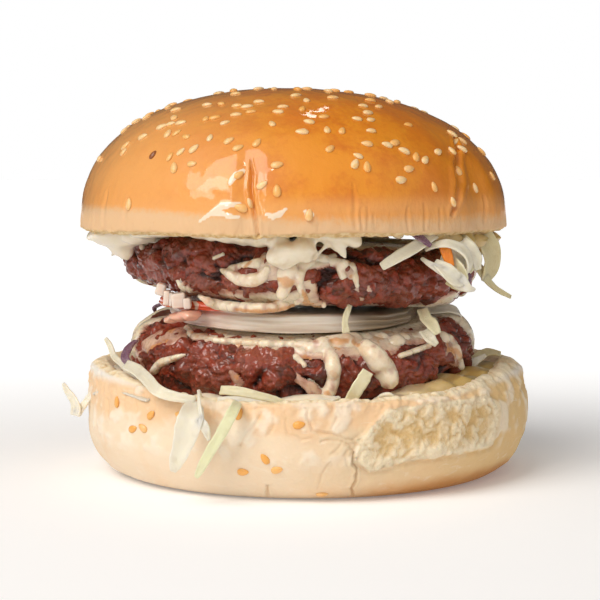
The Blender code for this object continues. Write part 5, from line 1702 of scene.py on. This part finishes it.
class BURGER_OT_crown(BurgerPiece, bpy.types.Operator):
    """Add the glazed crown and its sesame seeds"""

    bl_idname = "burger.crown"
    bl_label = "Crown"

    def execute(self, context):
        bun = self.bun
        surface = Surface(round_body(*CROWN_MESH, crown_shape(bun), CROWN_SPREAD))
        over = (surface.points[:, 2] - CROWN_BASE) / MM
        under = ramp(-surface.normals[:, 2], 0.35, 0.75)
        wobble = 0.6 * surface.noise(2.5 * MM, 4)
        relief = 0.14 * surface.noise(7 * MM, 12) + 0.05 * surface.noise(2.4 * MM, 13)
        for line, depth in CROWN_CREASES:
            inside = surface.trace(line, wobble)
            relief -= depth * ramp(inside, 0.0, 1.0)
            relief += 0.35 * depth * ramp(inside, -9.0, -1.0) * (1 - ramp(inside, -1.0, 0.4))
        smear = np.zeros(len(surface.points))
        for line in CROWN_SMEARS:
            smear = np.maximum(smear, surface.trace(line, 3 * wobble))
        relief += 0.16 * np.sqrt(smear)
        low_band = ramp(over, 9.0, 1.0) * (1 - under)
        pleats = surface.noise(3.4 * MM, 31) * 0.16 * low_band
        ragged = surface.noise(1.5 * MM, 17) * 0.34 + surface.noise(0.7 * MM, 18) * 0.16
        rim = ramp(over, 2.2, 0.4) * ramp(under, 1.0, 0.4)
        near, _ = surface.cells(1.9 * MM, 0.5 * MM, 6)
        surface.push((relief + pleats + ragged * rim - under * 0.5 * near) * MM)
        surface.paint("low", ramp(over, 15.0, 0.6))
        surface.paint("crumb", np.clip(under + ramp(over, 1.3, 0.4) * 0.8, 0, 1))
        surface.paint("smear", smear)
        tree = surface.tree()
        add_piece("crown_bread", surface, crust_finish(bun), "golden_crust", ("bun_crown",))
        self.add_seeds(tree)
        return {"FINISHED"}

    def add_seeds(self, tree):
        bun = self.bun
        seeds = seed_copies()
        draw = random.Random(41)
        places = []
        for column, row, spin in (*CROWN_SEEDS_SEEN, BROWN_SEED_SEEN):
            point, normal = seed_place(tree, column, row)
            size = bun.seed_length * draw.uniform(*SEED_SIZES)
            shade = BROWN_TONE if (column, row, spin) == BROWN_SEED_SEEN else draw.uniform(0.0, 0.75)
            places.append(point)
            add_seed(seeds, size, point, normal, math.radians(spin), shade)
        left = bun.seed_count
        shape = crown_shape(bun)
        for _ in range(SEED_TRIES):
            if not left:
                break
            bearing = draw.uniform(-math.pi, math.pi)
            travel = draw.uniform(0.42, 0.985)
            chance, spin = draw.random(), draw.uniform(0, math.pi)
            guess = shape(np.array([bearing]), np.array([travel]))[0]
            point, normal, _, _ = tree.find_nearest(guess)
            over = point.z - CROWN_BASE
            radius = math.hypot(point.x - CROWN_CENTRE_X, point.y)
            thick = ramp(over, 11 * MM, 0.75 * bun.crown_height)
            plain_in_photo = point.y < -12 * MM and over < 30 * MM
            if chance > radius / bun.crown_radius * (0.05 + 0.95 * thick) or over < 8 * MM or plain_in_photo:
                continue
            if any((point - other).length < SEED_SPACING for other in places):
                continue
            places.append(point)
            size = bun.seed_length * draw.uniform(*SEED_SIZES)
            add_seed(seeds, size, point, normal, spin, draw.uniform(0.0, 0.8))
            left -= 1
        if left:
            raise RuntimeError(f"The crown has no room for {left} of its seeds")
        add_piece("crown_seeds", seeds.bm, seed_finish(bun), "golden_crust")


class BURGER_OT_heel(BurgerPiece, bpy.types.Operator):
    """Add the heel with its torn patch, its cracks and the seeds that fell on it"""

    bl_idname = "burger.heel"
    bl_label = "Heel"

    def execute(self, context):
        bun = self.bun
        surface = Surface(round_body(*HEEL_MESH, heel_shape(bun), HEEL_SPREAD))
        over = surface.points[:, 2] / MM
        front = surface.seen
        wobble = 1.4 * surface.noise(3 * MM, 4) + 0.7 * surface.noise(1.2 * MM, 5)
        within = inside_outline(surface.columns + wobble, surface.rows + wobble, TEAR_OUTLINE)
        torn = ramp(within, -0.8, 1.6) * front
        lip = ramp(within, -3.0, 0.5) * (1 - ramp(within, 1.0, 6.0)) * front
        near, _ = surface.cells(2.6 * MM, 2.0 * MM, 9)
        near_small, _ = surface.cells(1.1 * MM, 0.6 * MM, 10)
        relief = 0.30 * surface.noise(8 * MM, 11) + 0.12 * surface.noise(3.0 * MM, 12)
        relief += 0.05 * surface.noise(1.3 * MM, 13)
        crease = np.zeros(len(surface.points))
        for line, depth in HEEL_CRACKS:
            inside = surface.trace(line, wobble)
            crease = np.maximum(crease, ramp(inside, 0.0, 1.0) * min(1.0, depth + 0.2))
            relief -= 0.6 * depth * ramp(inside, 0.0, 1.0) * (1 - torn)
            relief += 0.25 * depth * ramp(inside, -8.0, -0.5) * (1 - ramp(inside, -0.5, 0.4)) * (1 - torn)
        side = ramp(over, 0.2, 3.0)
        wrinkles = surface.noise(4.5 * MM, 14) * 0.25 * ramp(over, 12, 22) * side
        soft = 0.45 * surface.noise(5.0 * MM, 15) + 0.2 * surface.noise(1.9 * MM, 25)
        pits = 0.5 * ramp(near, 0.3, 0.8) + 0.2 * ramp(near_small, 0.3, 0.7)
        bulge = 0.6 * ramp(within, 0, 5) - 0.9 * ramp(within, 5, 20)
        flakes = ramp(surface.noise(6.5 * MM, 33) + 0.5 * surface.noise(2.2 * MM, 34), -0.05, 0.45)
        flakes *= ramp(over, 8, 13) * (1 - torn) * front
        relief = relief * side + wrinkles + lip * 0.5 + 0.3 * flakes
        relief += torn * (bulge + soft - pits)
        under_lip = ramp(within, -6.0, -1.0) * (1 - ramp(within, -1.0, 0.3)) * ramp(surface.rows, 425, 445)
        relief -= 0.7 * under_lip * front
        cut = ramp(surface.normals[:, 2], 0.5, 0.85) * ramp(over, 15, 18)
        rim_rough = ramp(over, 19.5, 23.0) * (1 - cut)
        relief += rim_rough * (0.4 * surface.noise(1.9 * MM, 16) + 0.2 * surface.noise(0.8 * MM, 19))
        relief -= cut * 0.5 * ramp(near, 0.3, 0.8)
        surface.push(relief * MM)
        surface.points[:, 2] = np.maximum(surface.points[:, 2], 0.0)
        surface.store()
        bearings = np.degrees(np.arctan2(surface.points[:, 0] - HEEL_CENTRE_X, -surface.points[:, 1]))
        surface.paint("crumb", np.clip(torn + cut, 0, 1))
        # Painted shade in the pits of the bare crumb, with the tan middle of the torn patch
        pit_shade_and_tan_values = 0.8 * pits + 0.35 * ramp(within, 4, 18) * torn - 0.3 * lip - 0.4 * soft
        surface.paint("pore", np.clip(pit_shade_and_tan_values, 0, 1))
        # Painted shade along the cracks and folds
        surface.paint("crease", crease)
        upper = ramp(over, 15, 21) * 0.55 + 0.3 * surface.noise(12 * MM, 20) + 0.2
        surface.paint("blush", upper * (1 - ramp(bearings, 30, 60)))
        foot = ramp(over, 8.5, 0.5) * (0.3 + 0.7 * ramp(bearings, -5, 45))
        surface.paint("toast", np.clip(foot + cut * 0.5 * ramp(surface.noise(9 * MM, 23), 0.1, 0.5), 0, 1))
        surface.paint("chalk", ramp(over, 23, 28) * (1 - torn) * 0.9)
        surface.paint("flake", flakes)
        tree = surface.tree()
        add_piece("heel_bread", surface, bread_finish(bun), "pale_bun", ("bun_heel",))
        self.add_seeds(tree)
        return {"FINISHED"}

    def add_seeds(self, tree):
        seeds = seed_copies()
        draw = random.Random(9)
        for column, row, spin in HEEL_SEEDS_SEEN:
            point, normal = seed_place(tree, column, row)
            add_seed(seeds, self.bun.seed_length, point, normal, math.radians(spin), draw.uniform(0.6, 1.0))
        add_piece("heel_seeds", seeds.bm, seed_finish(self.bun), "pale_bun")


class BURGER_OT_patties(BurgerPiece, bpy.types.Operator):
    """Add the two grilled patties and the melted cheese on and under them"""

    bl_idname = "burger.patties"
    bl_label = "Patties and cheese"

    def execute(self, context):
        beef = beef_finish(self.filling)
        cheese = cheese_finish(self.filling)
        for name, patty, node, drips in (
            ("beef_upper", UPPER_PATTY, "patty_upper", UPPER_DRIPS),
            ("beef_lower", LOWER_PATTY, "patty_lower", LOWER_DRIPS),
        ):
            tree = self.add_patty(name, patty, node, beef)
            melted_drips(name.replace("beef", "drips"), tree, drips, cheese)
        for name, patty, below, runs, side_runs, node in (
            ("melted_upper", UPPER_PATTY, False, UPPER_RUNS, UPPER_SIDE_RUNS, "cheese_upper"),
            ("melted_middle", UPPER_PATTY, True, MIDDLE_RUNS, MIDDLE_SIDE_RUNS, "cheese_middle"),
            ("melted_lower", LOWER_PATTY, False, LOWER_RUNS, LOWER_SIDE_RUNS, "cheese_lower"),
        ):
            melted_sheet(name, self.filling, patty, below, runs, side_runs, cheese, (node,))
        return {"FINISHED"}

    def add_patty(self, name, patty, node, finish):
        filling = self.filling
        surface = Surface(round_body(*PATTY_MESH, patty_shape(filling, patty), PATTY_SPREAD))
        size = filling.mince_size
        depth = filling.mince_depth / MM
        seed = patty.seed
        near, tone = surface.cells(size, size, seed)
        near_small, tone_small = surface.cells(0.48 * size, 0.4 * size, seed + 3)
        near_fine, _ = surface.cells(0.24 * size, 0.2 * size, seed + 6)
        relief = depth * (0.55 - near ** 1.6 * 1.3) + 0.30 * depth * (0.4 - near_small ** 2 * 1.4)
        relief += 0.12 * depth * (0.4 - near_fine ** 2 * 1.5) + 0.9 * surface.noise(6 * MM, seed + 5)
        relief += 0.45 * surface.noise(2.6 * MM, seed + 8) + 0.22 * surface.noise(1.2 * MM, seed + 9)
        relief += 0.12 * surface.noise(0.7 * MM, seed + 10)
        relief = np.clip(relief, -2.6, 1.6)
        surface.push(relief * MM)
        # Painted shade in the gaps between crumbs, and painted light on the crumbs that stand out
        surface.paint("crevice", ramp(relief, -0.2, -1.9))
        surface.paint("raised", ramp(relief, 0.1, 1.3))
        surface.paint("tone", tone * 0.6 + tone_small * 0.4)
        tree = surface.tree()
        add_piece(name, surface, finish, "beef", (node,))
        return tree


class BURGER_OT_onion(BurgerPiece, bpy.types.Operator):
    """Add the onion and the tomato between the patties"""

    bl_idname = "burger.onion"
    bl_label = "Onion and tomato"

    def execute(self, context):
        onion = onion_finish(self.filling)
        tomato = tomato_finish(self.filling)
        for name, shape, finish, slot, node in (
            ("onion_rings", self.onion_slice, onion, "onion", "onion_slice"),
            ("onion_tail", self.onion_end, onion, "onion", "onion_end"),
            ("tomato_round", self.tomato_slice, tomato, "tomato", "tomato_slice"),
            ("tomato_piece", self.tomato_wedge, tomato, "tomato", "tomato_wedge"),
        ):
            add_piece(name, shape(), finish, slot, (node,))
        return {"FINISHED"}

    def plane(self, patty, offset, spots):
        """The height at each spot of the plane that lies an offset over the patty's middle."""
        normal = patty.turn.to_3x3() @ Vector((0, 0, 1))
        aside = normal.x * (spots[:, 0] - patty.centre.x) + normal.y * (spots[:, 1] - patty.centre.y)
        return patty.centre.z + (offset - aside) / normal.z

    def slice_body(self, radius, centre, floor, roof, wave, layers):
        """A round slice between two heights, each a function of the spots, with layers whose edges
        stand out by turns."""
        low, high = PATTY_SIDE

        def place(bearing, travel):
            edge = radius * (1 + wave * np.sin(3 * bearing + 0.7))
            share = np.clip((travel - low) / (high - low), 0, 1)
            out = edge * np.select(
                [travel < low, travel > high],
                [SLICE_FLAT * travel / low, SLICE_FLAT * (1 - travel) / (1 - high)],
                SLICE_FLAT + SLICE_SWELL * np.sqrt(np.maximum(0, np.sin(share * math.pi))))
            steps = soft_noise(np.stack((1.5 * bearing, 4 * share, 1.5 + 0 * share), axis=1), 1.0)
            out = out + layers * MM * steps * ramp(share, 0, 0.1) * ramp(share, 1, 0.9)
            out = out + layers * MM * soft_noise(on_bearing(radius, bearing), 9 * MM, 3)
            flat = on_bearing(out, bearing) + np.array(centre)
            bottom, top = floor(flat), roof(flat)
            flat[:, 2] = bottom + (top - bottom) * share
            flat[:, 2] += 0.5 * layers * MM * soft_noise(flat, 12 * MM, 5) * ramp(travel, low, 0.45)
            return flat

        return Surface(round_body(*SLICE_MESH, place, PATTY_SPREAD))

    def onion_slice(self):
        def floor(spots):
            return self.plane(LOWER_PATTY, LOWER_PATTY.half + 0.8 * ONION_CHEESE_ROOM, spots)

        def roof(spots):
            return ONION_TOP + ONION_TOP_SLOPE * spots[:, 0]

        return self.slice_body(ONION_RADIUS, ONION_CENTRE, floor, roof, 0.02, 0.8)

    def tomato_slice(self):
        def floor(spots):
            return ONION_TOP + ONION_TOP_SLOPE * spots[:, 0]

        def roof(spots):
            return self.plane(UPPER_PATTY, -UPPER_PATTY.half - 0.8 * ONION_CHEESE_ROOM, spots)

        surface = self.slice_body(TOMATO_RADIUS, TOMATO_CENTRE, floor, roof, 0.03, 0.5)
        fleck = surface.trace(TOMATO_FLECK_SEEN, surface.noise(2 * MM, 2))
        surface.paint("fleck", ramp(fleck, 0.0, 0.6))
        return surface

    def tomato_wedge(self):
        copies = balls()
        add_seen_lumps(copies, TOMATO_LUMPS_SEEN)
        surface = Surface(melted_together(copies.bm, LUMP_VOXEL, 3))
        surface.paint("fleck", np.full(len(surface.points), 0.6))
        return surface

    def onion_end(self):
        """Blocks of onion, cut from its layers."""
        bm = bmesh.new()
        for column, row, behind, turn, size in ONION_BLOCKS:
            place = Matrix.Translation(photo_place(column, row, behind))
            place = place @ Matrix.Rotation(math.radians(turn), 4, "Y")
            stretch = Matrix.Diagonal((*(Vector(size) * MM), 1))
            block = bmesh.ops.create_cube(bm, size=1.0, matrix=place @ stretch)
            edges = {edge for vert in block["verts"] for edge in vert.link_edges}
            bmesh.ops.bevel(
                bm, geom=list(edges), offset=0.45 * MM, segments=3, profile=0.5, affect="EDGES",
                material=-1)
        return Surface(bm)


class BURGER_OT_cream(BurgerPiece, bpy.types.Operator):
    """Add the cream sauce under the crown and in the heel"""

    bl_idname = "burger.cream"
    bl_label = "Cream"

    def execute(self, context):
        finish = cream_finish(self.filling)
        top = balls()
        add_seen_lumps(top, TOP_CREAM_SEEN)
        for centre, half_sizes in TOP_CREAM:
            add_lump(top, np.array(centre) * MM, np.array(half_sizes) * MM)
        for points in TOP_STRINGS_SEEN:
            add_string(top, [(*photo_place(*point[:3]), point[3] * MM) for point in points])
        add_piece("cream_top", melted_together(top.bm, CREAM_VOXEL, 4), finish, "sauce", ("sauce_top",))
        bed = balls()
        for centre, half_sizes in BED_CREAM:
            add_lump(bed, np.array(centre) * MM, np.array(half_sizes) * MM, 0.3)
        add_piece("cream_bed", melted_together(bed.bm, BED_VOXEL, 4), finish, "sauce", ("sauce_bed",))
        return {"FINISHED"}


class BURGER_OT_slaw(BurgerPiece, bpy.types.Operator):
    """Add the shredded cabbage under the crown, between the patties and on the heel"""

    bl_idname = "burger.slaw"
    bl_label = "Slaw"

    def execute(self, context):
        cabbage = cabbage_finish()
        thickness = self.filling.shred_thickness
        for name, seen, rule, finish, thick, nodes in (
            ("slaw_top_shreds", TOP_SHREDS_SEEN, TOP_SHREDS_RULE, cabbage, thickness, ("slaw_top",)),
            ("carrot_piece", (CARROT_SEEN,), None, carrot_finish(), CARROT_THICKNESS, ()),
            ("slaw_between_shreds", BETWEEN_SHREDS_SEEN, BETWEEN_SHREDS_RULE, cabbage, thickness, ()),
            ("slaw_bed_shreds", BED_SHREDS_SEEN, BED_SHREDS_RULE, cabbage, thickness, ("slaw_bed",)),
        ):
            heap = ShredHeap()
            for shred in seen:
                heap.add_seen(shred)
            if rule:
                random_shreds(heap, *rule)
            heap.finish(name, finish, "cabbage", thick, nodes)
        return {"FINISHED"}


class BURGER_PT_panel(bpy.types.Panel):
    """Lists the burger's pieces and their settings"""

    bl_label = "Double cheeseburger"
    bl_idname = "BURGER_PT_panel"
    bl_space_type = "VIEW_3D"
    bl_region_type = "UI"
    bl_category = "Burger"

    def draw(self, context):
        layout = self.layout
        for operator in OPERATORS:
            layout.operator(operator.bl_idname)
        scene = context.scene
        for settings in (scene.burger_bun, scene.burger_filling, scene.burger_stage):
            box = layout.box()
            for name in settings.__annotations__:
                box.prop(settings, name)


OPERATORS = (
    BURGER_OT_stage, BURGER_OT_crown, BURGER_OT_heel, BURGER_OT_patties, BURGER_OT_onion,
    BURGER_OT_cream, BURGER_OT_slaw,
)
CLASSES = (BunSettings, FillingSettings, StageSettings, *OPERATORS, BURGER_PT_panel)


def register():
    for made in CLASSES:
        bpy.utils.register_class(made)
    bpy.types.Scene.burger_bun = PointerProperty(type=BunSettings)
    bpy.types.Scene.burger_filling = PointerProperty(type=FillingSettings)
    bpy.types.Scene.burger_stage = PointerProperty(type=StageSettings)


def unregister():
    del bpy.types.Scene.burger_stage
    del bpy.types.Scene.burger_filling
    del bpy.types.Scene.burger_bun
    for made in reversed(CLASSES):
        bpy.utils.unregister_class(made)


def main():
    register()
    bpy.ops.burger.stage()
    bpy.ops.burger.crown()
    bpy.ops.burger.heel()
    bpy.ops.burger.patties()
    bpy.ops.burger.onion()
    bpy.ops.burger.cream()
    bpy.ops.burger.slaw()


if __name__ == "__main__":
    main()
